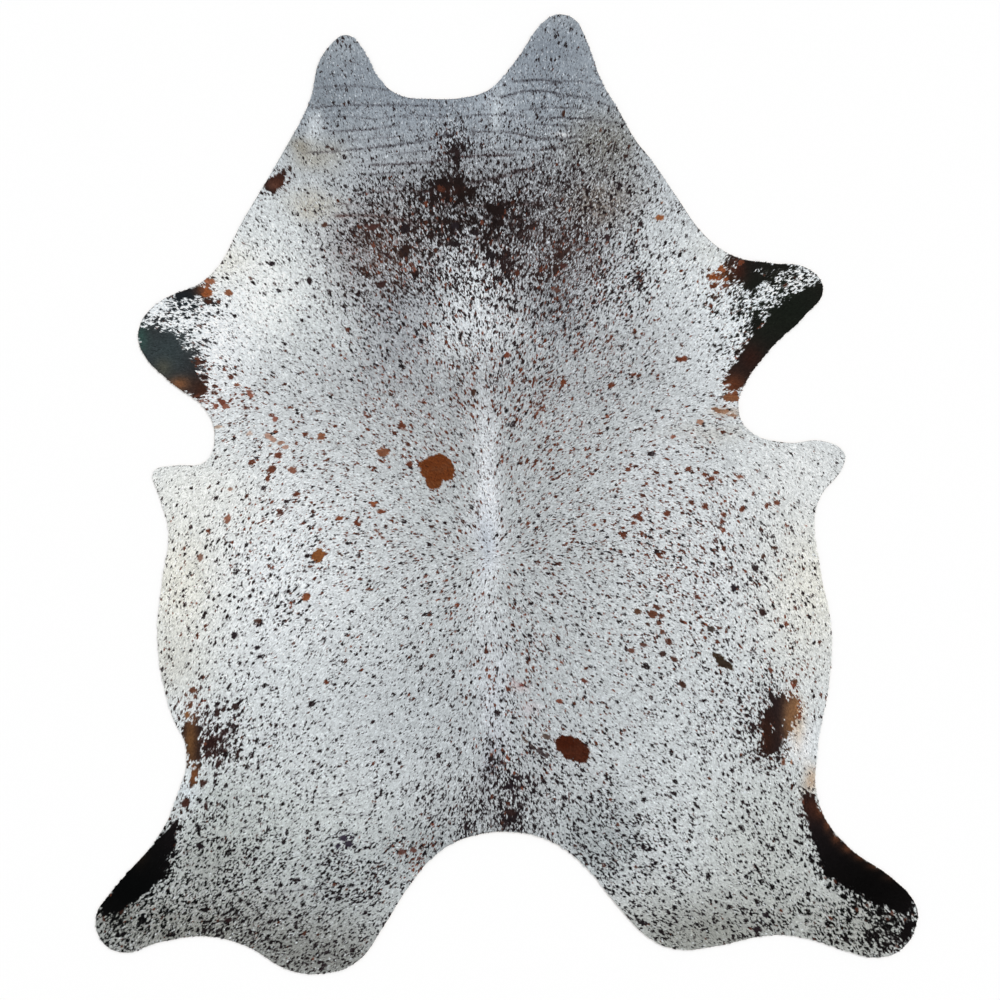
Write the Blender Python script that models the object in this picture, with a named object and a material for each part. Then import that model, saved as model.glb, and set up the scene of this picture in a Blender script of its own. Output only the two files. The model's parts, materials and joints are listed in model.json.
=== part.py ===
"""Cowhide rug: one whole hair-on hide, cut round its natural outline and lying flat.

The hide is a single sheet. Its neck points to +Y, its hind legs to -Y, and +X is the right-hand
side seen from above. It lies on z = 0 with its leather side, which is flat, and its hair side is
up. The hair side is as uneven as a real hide: thicker along the neck and the back than at the
belly, with slow swells, and with soft troughs where the neck and the elbows were creased.

Lengths in the tables are millimetres, measured from the middle of the hide's bounding box.
"""

import math

import bmesh
import bpy
from mathutils import Matrix

MM = 0.001

# Driving dimensions, in millimetres.
HIDE_WIDTH = 1850.0       # across the legs
HIDE_LENGTH = 2156.0      # from the neck lobes to the hind legs
THICKNESS = 3.5           # leather of 2.2 mm, and its coat lying flat on it
BACK_THICKER_BY = 0.5     # along the neck and back, against the mean
BELLY_THINNER_BY = 0.5    # at the flanks and legs
BACK_HALF_WIDTH = 420.0   # how far from the spine the thick part reaches
SWELL_HEIGHT = 0.25       # slow unevenness of a hide that was rolled for storage
SWELL_PITCH_X = 610.0
SWELL_PITCH_Y = 470.0

GRID_PITCH = 40.0         # between the hair side's points
CREASE_ROW_PITCH = 13.0   # between its rows where the neck is creased
CREASE_ROWS_FROM = 595.0  # the creased stretch, along Y
CREASE_ROWS_TO = 950.0
STEPS_PER_POINT = 5       # edge points for each landmark of the outline
CUTTER_HEIGHT = 60.0

HIDE_COLOUR = (0.52, 0.55, 0.55, 1.0)
HIDE_ROUGHNESS = 0.75

# The outline, clockwise seen from above, as named stretches of (x, y) landmarks.
OUTLINE = {
    "left neck lobe": [
        (-422, 968), (-395, 1010), (-361, 1032), (-332, 1012), (-285, 932), (-244, 898),
    ],
    "cut across the neck": [
        (-170, 888), (-84, 893), (-42, 907), (-15, 929), (28, 983),
    ],
    "right neck lobe": [
        (93, 1069), (125, 1078), (156, 1064), (174, 1033), (215, 925),
    ],
    "right shoulder": [
        (251, 864), (289, 797), (327, 749), (379, 673), (453, 574), (516, 533),
    ],
    "right foreleg": [
        (595, 519), (681, 505), (712, 459), (674, 405), (595, 328), (534, 243),
    ],
    "right elbow": [
        (521, 200), (541, 146), (631, 115), (710, 119), (759, 92), (757, 63), (705, -7),
    ],
    "right flank": [
        (692, -58), (703, -158), (730, -306), (726, -418), (699, -576), (701, -693),
    ],
    "right hind leg": [
        (762, -788), (867, -864), (918, -920), (924, -954), (890, -1022), (834, -1042),
        (768, -1028), (667, -997), (593, -992),
    ],
    "right rump": [
        (467, -1017), (397, -1024), (334, -1006), (242, -916), (183, -843),
    ],
    "bay at the tail": [
        (102, -781), (19, -760), (-71, -767), (-150, -803),
    ],
    "left rump": [
        (-215, -875), (-278, -974), (-336, -1051), (-415, -1078), (-487, -1071),
        (-588, -1015), (-681, -994),
    ],
    "left hind leg": [
        (-782, -1008), (-870, -1030), (-915, -997), (-920, -940), (-899, -909),
        (-861, -862), (-785, -774), (-746, -695),
    ],
    "left flank": [
        (-719, -576), (-753, -495), (-784, -328), (-773, -194), (-759, -86),
    ],
    "left elbow": [
        (-782, 0), (-793, 50), (-753, 63), (-674, 74), (-656, 122), (-674, 187),
    ],
    "left foreleg": [
        (-753, 250), (-820, 322), (-827, 369), (-795, 421),
    ],
    "left shoulder": [
        (-667, 490), (-588, 623), (-507, 760), (-440, 889),
    ],
}

# Soft troughs of the hair side: where each starts, passes and ends, and its depth.
CREASES = [
    # name                     x_start y_start  x_mid  y_mid  x_end  y_end  depth
    ("left lobe root",            -429,    871,  -305,   875,  -177,   873,   0.8),
    ("left neck, outer",          -449,    767,  -290,   780,  -125,   810,   1.0),
    ("left neck, inner",          -291,    740,  -157,   751,   -28,   760,   1.0),
    ("left neck, low",            -350,    682,  -270,   681,  -188,   680,   0.8),
    ("left shoulder top",         -357,    628,  -225,   621,   -89,   614,   0.8),
    ("right lobe, upper",           28,    927,    80,   931,   132,   927,   0.7),
    ("right lobe, lower",            1,    893,    70,   904,   132,   898,   0.9),
    ("neck middle",                -69,    815,    20,   807,   107,   803,   0.9),
    ("neck middle, low",           -78,    704,     5,   722,    84,   738,   1.0),
    ("right shoulder top",          75,    632,   190,   648,   316,   657,   0.8),
    ("left elbow",                -753,     56,  -640,    53,  -520,    45,   0.9),
    ("right elbow",                541,    133,   480,   130,   420,   122,   0.8),
]
CREASE_HALF_WIDTH = 9.0
CREASE_END_FADE = 30.0


def clear_scene():
    """Remove every object that is already in the file."""
    for old in list(bpy.data.objects):
        bpy.data.objects.remove(old, do_unlink=True)


def new_collection(name):
    """A collection of that name, linked to the scene."""
    collection = bpy.data.collections.new(name)
    bpy.context.scene.collection.children.link(collection)
    return collection


def hair_material():
    """The grey-white coat of the hide, as one plain finish."""
    material = bpy.data.materials.new("hide")
    material.use_nodes = True
    shader = material.node_tree.nodes["Principled BSDF"]
    shader.inputs["Base Color"].default_value = HIDE_COLOUR
    shader.inputs["Roughness"].default_value = HIDE_ROUGHNESS
    shader.inputs["Metallic"].default_value = 0.0
    return material


def crease_depth(x, y, crease):
    """How deep one crease is at a point: a soft trough along a bowed line, fading at its ends."""
    _, x_start, y_start, x_mid, y_mid, x_end, y_end, depth = crease
    along = (x - x_start) / (x_end - x_start)
    inside = min(max(along, 0.0), 1.0)
    bow = y_mid - (y_start + y_end) / 2.0
    line_y = y_start + (y_end - y_start) * inside + 4.0 * bow * inside * (1.0 - inside)
    past_end = abs(along - inside) * abs(x_end - x_start)
    across = math.exp(-((y - line_y) / CREASE_HALF_WIDTH) ** 2)
    return depth * across * math.exp(-((past_end / CREASE_END_FADE) ** 2))


def hair_side_height(x, y):
    """Height of the hair side over the floor, all in millimetres."""
    back = math.exp(-((x / BACK_HALF_WIDTH) ** 2))
    height = THICKNESS - BELLY_THINNER_BY + (BACK_THICKER_BY + BELLY_THINNER_BY) * back
    swell_x = math.sin(2.0 * math.pi * x / SWELL_PITCH_X + 0.8 * math.sin(y / SWELL_PITCH_Y))
    swell_y = math.cos(2.0 * math.pi * y / SWELL_PITCH_Y + 0.6 * math.sin(x / SWELL_PITCH_X))
    height += SWELL_HEIGHT * swell_x * swell_y
    return height - max(crease_depth(x, y, crease) for crease in CREASES)


def sheet_mesh():
    """An oblong sheet of hide: flat underneath, uneven on its hair side, larger than the outline."""
    margin = 2.0 * GRID_PITCH
    columns = round((HIDE_WIDTH + margin) / GRID_PITCH)
    rows = round((HIDE_LENGTH + margin) / GRID_PITCH)
    sheet = bmesh.new()
    size = Matrix.Diagonal((columns * GRID_PITCH * MM, rows * GRID_PITCH * MM, 1.0, 1.0))
    bmesh.ops.create_grid(sheet, x_segments=columns, y_segments=rows, size=0.5, matrix=size)

    row_y = CREASE_ROWS_FROM
    while row_y < CREASE_ROWS_TO:
        everything = sheet.verts[:] + sheet.edges[:] + sheet.faces[:]
        bmesh.ops.bisect_plane(
            sheet, geom=everything, dist=MM, plane_co=(0.0, row_y * MM, 0.0), plane_no=(0, 1, 0)
        )
        row_y += CREASE_ROW_PITCH

    for point in sheet.verts:
        point.co.z = hair_side_height(point.co.x / MM, point.co.y / MM) * MM

    rim = [edge for edge in sheet.edges if edge.is_boundary]
    walls = bmesh.ops.extrude_edge_only(sheet, edges=rim)["geom"]
    for point in walls:
        if isinstance(point, bmesh.types.BMVert):
            point.co.z = 0.0
    bmesh.ops.holes_fill(sheet, edges=[edge for edge in sheet.edges if edge.is_boundary])
    bmesh.ops.recalc_face_normals(sheet, faces=sheet.faces)

    mesh = bpy.data.meshes.new("hide")
    sheet.to_mesh(mesh)
    sheet.free()
    return mesh


def outline_curve():
    """The hide's outline as a smooth closed 2D curve, filled and raised to a tall block."""
    landmarks = [point for stretch in OUTLINE.values() for point in stretch]
    curve = bpy.data.curves.new("outline", "CURVE")
    curve.dimensions = "2D"
    curve.fill_mode = "BOTH"
    curve.extrude = CUTTER_HEIGHT * MM / 2.0
    curve.resolution_u = STEPS_PER_POINT
    spline = curve.splines.new("BEZIER")
    spline.bezier_points.add(len(landmarks) - 1)
    spline.use_cyclic_u = True
    for knot, (x, y) in zip(spline.bezier_points, landmarks):
        knot.co = (x * MM, y * MM, 0.0)
        knot.handle_left_type = "AUTO"
        knot.handle_right_type = "AUTO"
    return curve


def outline_cutter(collection):
    """The block inside the outline, as a closed mesh that can trim the sheet."""
    drawn = bpy.data.objects.new("outline_curve", outline_curve())
    collection.objects.link(drawn)
    bpy.context.view_layer.update()
    evaluated = drawn.evaluated_get(bpy.context.evaluated_depsgraph_get())
    mesh = bpy.data.meshes.new_from_object(evaluated)

    block = bmesh.new()
    block.from_mesh(mesh)
    bmesh.ops.remove_doubles(block, verts=block.verts, dist=0.00001)
    bmesh.ops.recalc_face_normals(block, faces=block.faces)
    block.to_mesh(mesh)
    block.free()

    cutter = bpy.data.objects.new("outline_cutter", mesh)
    cutter.matrix_world = drawn.matrix_world
    cutter.hide_render = True
    cutter.display_type = "WIRE"
    collection.objects.link(cutter)
    bpy.data.objects.remove(drawn, do_unlink=True)
    return cutter


def build():
    """The whole rug: one sheet of hide, kept inside its outline."""
    clear_scene()
    rug = new_collection("cowhide_rug")
    cutters = new_collection("cutters")

    hide = bpy.data.objects.new("hide", sheet_mesh())
    hide.data.materials.append(hair_material())
    hide.data.shade_smooth()
    hide.data.set_sharp_from_angle(angle=math.radians(40.0))
    rug.objects.link(hide)

    trim = hide.modifiers.new("trim_to_outline", "BOOLEAN")
    trim.operation = "INTERSECT"
    trim.solver = "EXACT"
    trim.object = outline_cutter(cutters)
    bpy.context.view_layer.update()


build()
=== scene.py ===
# %% [markdown]
# # A speckled cowhide rug
#
# The object is one whole hair-on hide, tanned and cut round its natural outline. It lies flat on a
# pale floor. This lesson dresses the plain solid of the hide: first a leather sheet with its cut
# edge and suede underside, then a coat of short lying hair that carries the speckles, spots and
# dark leg patches. The coat is real geometry, many small locks, because the charm of a cowhide is
# that its pattern is made of hair: every fleck has a ragged edge that follows the lie of the coat.

# %% Load the frame
import json
import math

import bmesh
import bpy
import numpy as np
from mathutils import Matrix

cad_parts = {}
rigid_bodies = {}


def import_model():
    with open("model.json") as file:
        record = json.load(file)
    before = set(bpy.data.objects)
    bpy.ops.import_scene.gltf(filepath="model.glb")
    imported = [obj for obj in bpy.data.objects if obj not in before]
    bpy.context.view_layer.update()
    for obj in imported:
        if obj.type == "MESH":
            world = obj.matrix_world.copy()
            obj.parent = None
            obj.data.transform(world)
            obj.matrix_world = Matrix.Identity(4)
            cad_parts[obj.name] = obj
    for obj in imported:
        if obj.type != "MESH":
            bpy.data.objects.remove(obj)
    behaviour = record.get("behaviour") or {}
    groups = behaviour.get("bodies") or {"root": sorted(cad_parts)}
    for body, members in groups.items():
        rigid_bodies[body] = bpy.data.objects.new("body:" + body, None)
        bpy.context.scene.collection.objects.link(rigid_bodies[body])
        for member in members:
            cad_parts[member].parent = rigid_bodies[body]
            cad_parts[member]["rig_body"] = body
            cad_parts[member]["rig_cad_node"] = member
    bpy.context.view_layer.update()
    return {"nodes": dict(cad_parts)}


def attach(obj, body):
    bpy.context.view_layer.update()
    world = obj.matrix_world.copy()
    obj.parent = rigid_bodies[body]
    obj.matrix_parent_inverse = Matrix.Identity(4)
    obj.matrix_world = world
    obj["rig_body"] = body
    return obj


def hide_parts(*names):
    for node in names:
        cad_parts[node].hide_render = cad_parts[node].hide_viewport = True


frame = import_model()
solid_hide = frame["nodes"]["hide"]

# %% [markdown]
# ## Units and the middle of the back
#
# The tables below are in millimetres, in the frame of the solid: +Y towards the neck, +X to the
# right seen from above, the origin in the middle of the hide. The spine runs a little left of the
# middle, and the coat's lie and colours are mirrored about it.

# %% Units
MM = 0.001
SPINE_X = -32.0
SEED = 11
random = np.random.default_rng(SEED)

# %% [markdown]
# ## Start the leather sheet from the solid
#
# The solid already has the right outline and the soft troughs of the neck, so the leather starts
# as a copy of it. The solid's mesh is loose triangles, so the copy is merged by distance first.
# The solid is leather and coat together. The leather is its lower two thirds, so the hair side is
# lowered by the depth of the coat, which grows back in later.

# %% Copy, merge and subdivide
COAT_DEPTH = 1.3
MERGE_DISTANCE = 0.01 * MM


def select_only(piece):
    """Make one object the selected and active one."""
    bpy.ops.object.select_all(action="DESELECT")
    piece.select_set(True)
    bpy.context.view_layer.objects.active = piece


leather = solid_hide.copy()
leather.data = solid_hide.data.copy()
leather.name = "hide_leather"
leather.parent = None
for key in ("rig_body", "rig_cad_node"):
    del leather[key]
bpy.context.scene.collection.objects.link(leather)
select_only(leather)
bpy.ops.object.mode_set(mode="EDIT")
bpy.ops.mesh.select_all(action="SELECT")
bpy.ops.mesh.remove_doubles(threshold=MERGE_DISTANCE)
bpy.ops.mesh.normals_make_consistent(inside=False)
bpy.ops.object.mode_set(mode="OBJECT")
print("leather starts with", len(leather.data.polygons), "faces")

# %% [markdown]
# ## The rim, as a distance map
#
# Hair near the cut edge has to be shortened, and no hair may start outside the hide. Both need the
# distance to the rim at any point. The rim is the set of edges round the flat underside. Its
# distance is worked out once on a coarse grid, positive inside and negative outside, and read
# between the grid's points afterwards.

# %% Rim segments from the underside
FLOOR_LEVEL = 0.05 * MM
UPRIGHT = 0.5


def rim_segments(mesh):
    """The edges between the flat underside and the cut wall, as an array of (start, end) in mm."""
    work = bmesh.new()
    work.from_mesh(mesh)
    found = []
    for edge in work.edges:
        low = all(abs(point.co.z) < FLOOR_LEVEL for point in edge.verts)
        upright = [abs(face.normal.z) < UPRIGHT for face in edge.link_faces]
        if low and any(upright) and not all(upright):
            found.append([point.co.xy[:] for point in edge.verts])
    work.free()
    return np.array(found) / MM


rim = rim_segments(leather.data)
print("rim has", len(rim), "edges")

# %% Signed distance to the rim
RIM_CELL = 8.0
RIM_MARGIN = 40.0


def distance_to_segments(x, y, segments):
    """Shortest distance from each point to any of the segments."""
    best = np.full(x.shape, 1e9)
    for start, end in segments:
        span = end - start
        reach = max(float(span @ span), 1e-9)
        t = np.clip(((x - start[0]) * span[0] + (y - start[1]) * span[1]) / reach, 0.0, 1.0)
        gap = np.hypot(x - start[0] - t * span[0], y - start[1] - t * span[1])
        best = np.minimum(best, gap)
    return best


def inside_segments(x, y, segments):
    """True where a line drawn to the right crosses the closed outline an odd number of times."""
    odd = np.zeros(x.shape, bool)
    for (x0, y0), (x1, y1) in segments:
        crosses = (y0 > y) != (y1 > y)
        if y0 != y1:
            odd ^= crosses & (x < x0 + (y - y0) * (x1 - x0) / (y1 - y0))
    return odd


rim_x = np.arange(rim[..., 0].min() - RIM_MARGIN, rim[..., 0].max() + RIM_MARGIN, RIM_CELL)
rim_y = np.arange(rim[..., 1].min() - RIM_MARGIN, rim[..., 1].max() + RIM_MARGIN, RIM_CELL)
node_x, node_y = np.meshgrid(rim_x, rim_y, indexing="ij")
rim_map = distance_to_segments(node_x, node_y, rim)
rim_map[~inside_segments(node_x, node_y, rim)] *= -1.0


def read_map(values, x, y, first_x, first_y, cell):
    """Read a grid of values between its points."""
    u = np.clip((x - first_x) / cell, 0, values.shape[0] - 1.001)
    v = np.clip((y - first_y) / cell, 0, values.shape[1] - 1.001)
    i, j = u.astype(int), v.astype(int)
    u, v = u - i, v - j
    near = values[i, j] * (1 - v) + values[i, j + 1] * v
    far = values[i + 1, j] * (1 - v) + values[i + 1, j + 1] * v
    return near * (1 - u) + far * u


def rim_distance(x, y):
    """Distance to the cut edge in mm, positive on the hide."""
    return read_map(rim_map, x, y, rim_x[0], rim_y[0], RIM_CELL)


print(f"rim map {rim_map.shape}, widest inside {rim_map.max():.0f} mm")

# %% [markdown]
# ## The lie of the coat
#
# On a cow the hair doesn't lie one way. From a whorl on the back it runs forwards and outwards over
# the shoulders, backwards and outwards over the flanks, and out along each leg. The table gives
# this lean at a few stations along the back, in five lanes from the spine out to the belly. It
# follows the streaks that the hair makes in a photograph of such a hide. 0 degrees lies towards the
# neck, 90 straight outwards and 180 towards the tail.

# %% Lean of the hair
LANES = (0.0, 90.0, 315.0, 560.0, 740.0)
LEAN = np.array([
    # y     spine  back  side  flank  edge
    (1080,    0,     5,   14,   22,    25),
    (770,     0,     6,   20,   32,    38),
    (550,     0,    12,   32,   40,    52),
    (410,     0,    16,   38,   50,    88),
    (280,     6,    30,   48,   60,    90),
    (155,    12,    40,   66,  105,   118),
    (30,     18,    46,   88,  134,   145),
    (-95,    24,    56,  106,  146,   156),
    (-180,  165,   120,  112,  144,   160),
    (-345,  175,   146,  127,  139,   160),
    (-600,  178,   146,  130,  146,   162),
    (-725,  180,   162,  128,  142,   150),
    (-850,  180,   150,  123,  134,   142),
    (-1080, 180,   150,  122,  128,   132),
], float)


def hair_direction(x, y):
    """Unit vector from root to tip of the hair at a point, seen from above."""
    side = np.where(x < SPINE_X, -1.0, 1.0)
    out = np.clip(np.abs(x - SPINE_X), LANES[0], LANES[-1])
    stations = LEAN[::-1, 0]
    lanes = [np.interp(y, stations, LEAN[::-1, k + 1]) for k in range(len(LANES))]
    lean = lanes[0]
    for k in range(len(LANES) - 1):
        part = np.clip((out - LANES[k]) / (LANES[k + 1] - LANES[k]), 0.0, 1.0)
        lean = np.where(out > LANES[k], lanes[k] + (lanes[k + 1] - lanes[k]) * part, lean)
    lean = np.radians(lean)
    return side * np.sin(lean), np.cos(lean)


print("lean stations:", len(LEAN))

# %% [markdown]
# ## The hair side's height
#
# The leather repeats the solid's own slow swells and creases, so that the coat sits inside the
# solid. The creases across the neck are the marks of the animal's own folds. They are listed
# as soft troughs, one row each: where it starts, passes and ends, and how deep it is.

# %% Creases and swells
THICKNESS = 3.5
BACK_THICKER_BY = 0.5
BELLY_THINNER_BY = 0.5
BACK_HALF_WIDTH = 420.0
SWELL_HEIGHT = 0.25
SWELL_PITCH = (610.0, 470.0)
SWELL_SKEW = (0.8, 0.6)
CREASES = [
    # x_start y_start  x_mid  y_mid  x_end  y_end  depth
    (-429,    871,  -305,   875,  -177,   873,   0.8),
    (-449,    767,  -290,   780,  -125,   810,   1.0),
    (-291,    740,  -157,   751,   -28,   760,   1.0),
    (-350,    682,  -270,   681,  -188,   680,   0.8),
    (-357,    628,  -225,   621,   -89,   614,   0.8),
    (28,      927,    80,   931,   132,   927,   0.7),
    (1,       893,    70,   904,   132,   898,   0.9),
    (-69,     815,    20,   807,   107,   803,   0.9),
    (-78,     704,     5,   722,    84,   738,   1.0),
    (75,      632,   190,   648,   316,   657,   0.8),
    (-753,     56,  -640,    53,  -520,    45,   0.9),
    (541,     133,   480,   130,   420,   122,   0.8),
]
CREASE_HALF_WIDTH = 9.0
CREASE_END_FADE = 30.0


def along_crease(x, y, crease, half_width, end_fade):
    """How near a point is to a crease: 1 on its line, falling to 0 away from it."""
    x_start, y_start, x_mid, y_mid, x_end, y_end = crease[:6]
    along = (x - x_start) / (x_end - x_start)
    inside = np.clip(along, 0.0, 1.0)
    bow = y_mid - (y_start + y_end) / 2.0
    line_y = y_start + (y_end - y_start) * inside + 4.0 * bow * inside * (1.0 - inside)
    past_end = np.abs(along - inside) * abs(x_end - x_start)
    across = np.exp(-(((y - line_y) / half_width) ** 2))
    return across * np.exp(-((past_end / end_fade) ** 2))


def hair_side_height(x, y):
    """Height of the finished hair side over the floor, in mm."""
    back = np.exp(-((x / BACK_HALF_WIDTH) ** 2))
    height = THICKNESS - BELLY_THINNER_BY + (BACK_THICKER_BY + BELLY_THINNER_BY) * back
    pitch_x, pitch_y = SWELL_PITCH
    swell_x = np.sin(2.0 * np.pi * x / pitch_x + SWELL_SKEW[0] * np.sin(y / pitch_y))
    swell_y = np.cos(2.0 * np.pi * y / pitch_y + SWELL_SKEW[1] * np.sin(x / pitch_x))
    trough = np.zeros(np.shape(x))
    for crease in CREASES:
        near = along_crease(x, y, crease, CREASE_HALF_WIDTH, CREASE_END_FADE)
        trough = np.maximum(trough, crease[6] * near)
    return height + SWELL_HEIGHT * swell_x * swell_y - trough


def leather_height(x, y):
    """Height of the leather under the coat, in mm."""
    return hair_side_height(x, y) - COAT_DEPTH


print("creases:", len(CREASES))

# %% Subdivide the leather and lower its hair side
def point_places(mesh):
    """The places of a mesh's points, in metres."""
    places = np.empty(len(mesh.vertices) * 3)
    mesh.vertices.foreach_get("co", places)
    return places.reshape(-1, 3)


select_only(leather)
bpy.ops.object.mode_set(mode="EDIT")
bpy.ops.mesh.select_all(action="SELECT")
bpy.ops.mesh.subdivide(number_cuts=2)
bpy.ops.object.mode_set(mode="OBJECT")

points = point_places(leather.data)
x_mm, y_mm = points[:, 0] / MM, points[:, 1] / MM
share_up = points[:, 2] / MM / hair_side_height(x_mm, y_mm)
points[:, 2] = np.clip(share_up, 0.0, 1.0) * leather_height(x_mm, y_mm) * MM
leather.data.vertices.foreach_set("co", points.ravel())
leather.data.update()
print("leather now has", len(leather.data.polygons), "faces")

# %% [markdown]
# ## Noise to break things up
#
# Two kinds of noise are needed, both repeatable. Smooth noise makes edges of patches wander.
# Fleck noise scatters small spots, one or none to a cell, stretched along the hair.

# %% Smooth noise and flecks
TABLE_SIZE = 512
FIRST_CELL = 1000.0
FLECK_INSET = 0.1
FLECK_SIZE = (0.45, 1.1, 1.5)
noise_table = random.random((TABLE_SIZE, TABLE_SIZE, 5))


def smooth_noise(x, y, pitch, channel):
    """Smooth noise from -1 to 1 with bumps about one pitch apart."""
    u, v = x / pitch + FIRST_CELL, y / pitch + FIRST_CELL
    i, j = np.floor(u).astype(int), np.floor(v).astype(int)
    u, v = u - i, v - j
    u, v = u * u * (3 - 2 * u), v * v * (3 - 2 * v)
    table = noise_table[..., channel]
    i0, j0, i1, j1 = i % TABLE_SIZE, j % TABLE_SIZE, (i + 1) % TABLE_SIZE, (j + 1) % TABLE_SIZE
    near = table[i0, j0] * (1 - v) + table[i0, j1] * v
    far = table[i1, j0] * (1 - v) + table[i1, j1] * v
    return 2.0 * (near * (1 - u) + far * u) - 1.0


def fleck_field(x, y, way_x, way_y, pitch, radius, stretch, share, shift):
    """Strength of scattered flecks: above 1 inside a fleck. Also a random number for each fleck.

    share is how much of the ground the flecks cover. Sparse ground has few flecks, and past half
    cover they grow until they join.
    """
    room = 1.0 - 2.0 * FLECK_INSET
    smallest, spread, power = FLECK_SIZE
    full = math.pi * radius * radius * stretch / pitch ** 2
    chance = np.clip(share / full, 0.0, 1.0)
    grow = np.sqrt(np.maximum(share / full, 1.0))
    cell_x, cell_y = np.floor(x / pitch).astype(int), np.floor(y / pitch).astype(int)
    best = np.zeros(x.shape)
    pick = np.zeros(x.shape)
    for step_x in (-1, 0, 1):
        for step_y in (-1, 0, 1):
            i, j = cell_x + step_x, cell_y + step_y
            draw = noise_table[(i + shift) % TABLE_SIZE, (j + 3 * shift) % TABLE_SIZE]
            off_x = x - (i + FLECK_INSET + room * draw[..., 0]) * pitch
            off_y = y - (j + FLECK_INSET + room * draw[..., 1]) * pitch
            along = (off_x * way_x + off_y * way_y) / stretch
            across = off_x * way_y - off_y * way_x
            size = radius * (smallest + spread * draw[..., 2] ** power) * grow
            strength = size / np.maximum(np.hypot(along, across), 0.05)
            strength = np.where(draw[..., 3] < chance, strength, 0.0)
            pick = np.where(strength > best, draw[..., 4], pick)
            best = np.maximum(best, strength)
    return best, pick


print("noise table:", noise_table.shape)

# %% [markdown]
# ## Where the pattern's places come from
#
# The pattern follows a straight-down photograph of such a hide. Places and sizes are read off
# enlarged crops and given in its pixels, counted from the upper left corner. One pixel is
# 2.25 mm, so a row can be checked against the picture at once. Colours and shares were set with the
# help of averages over regions of it, then corrected by comparing those with the render's averages.

# %% From millimetres to pixels
PIXEL = 2.25
MIDDLE_PIXEL = (506.5, 494.0)


def to_pixels(x, y):
    """The photograph's pixel over a point given in mm."""
    return x / PIXEL + MIDDLE_PIXEL[0], MIDDLE_PIXEL[1] - y / PIXEL


print("the middle of the hide is pixel", MIDDLE_PIXEL)

# %% [markdown]
# ## The ground colour of the coat
#
# The ground isn't one grey. The neck is steel blue, the shoulders are nearly white, the back is
# greyer, and the belly edges turn cream. Each tint is a soft spot laid over the ones before it:
# its middle, its reach, its colour as seen, and how strongly it covers.

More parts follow.
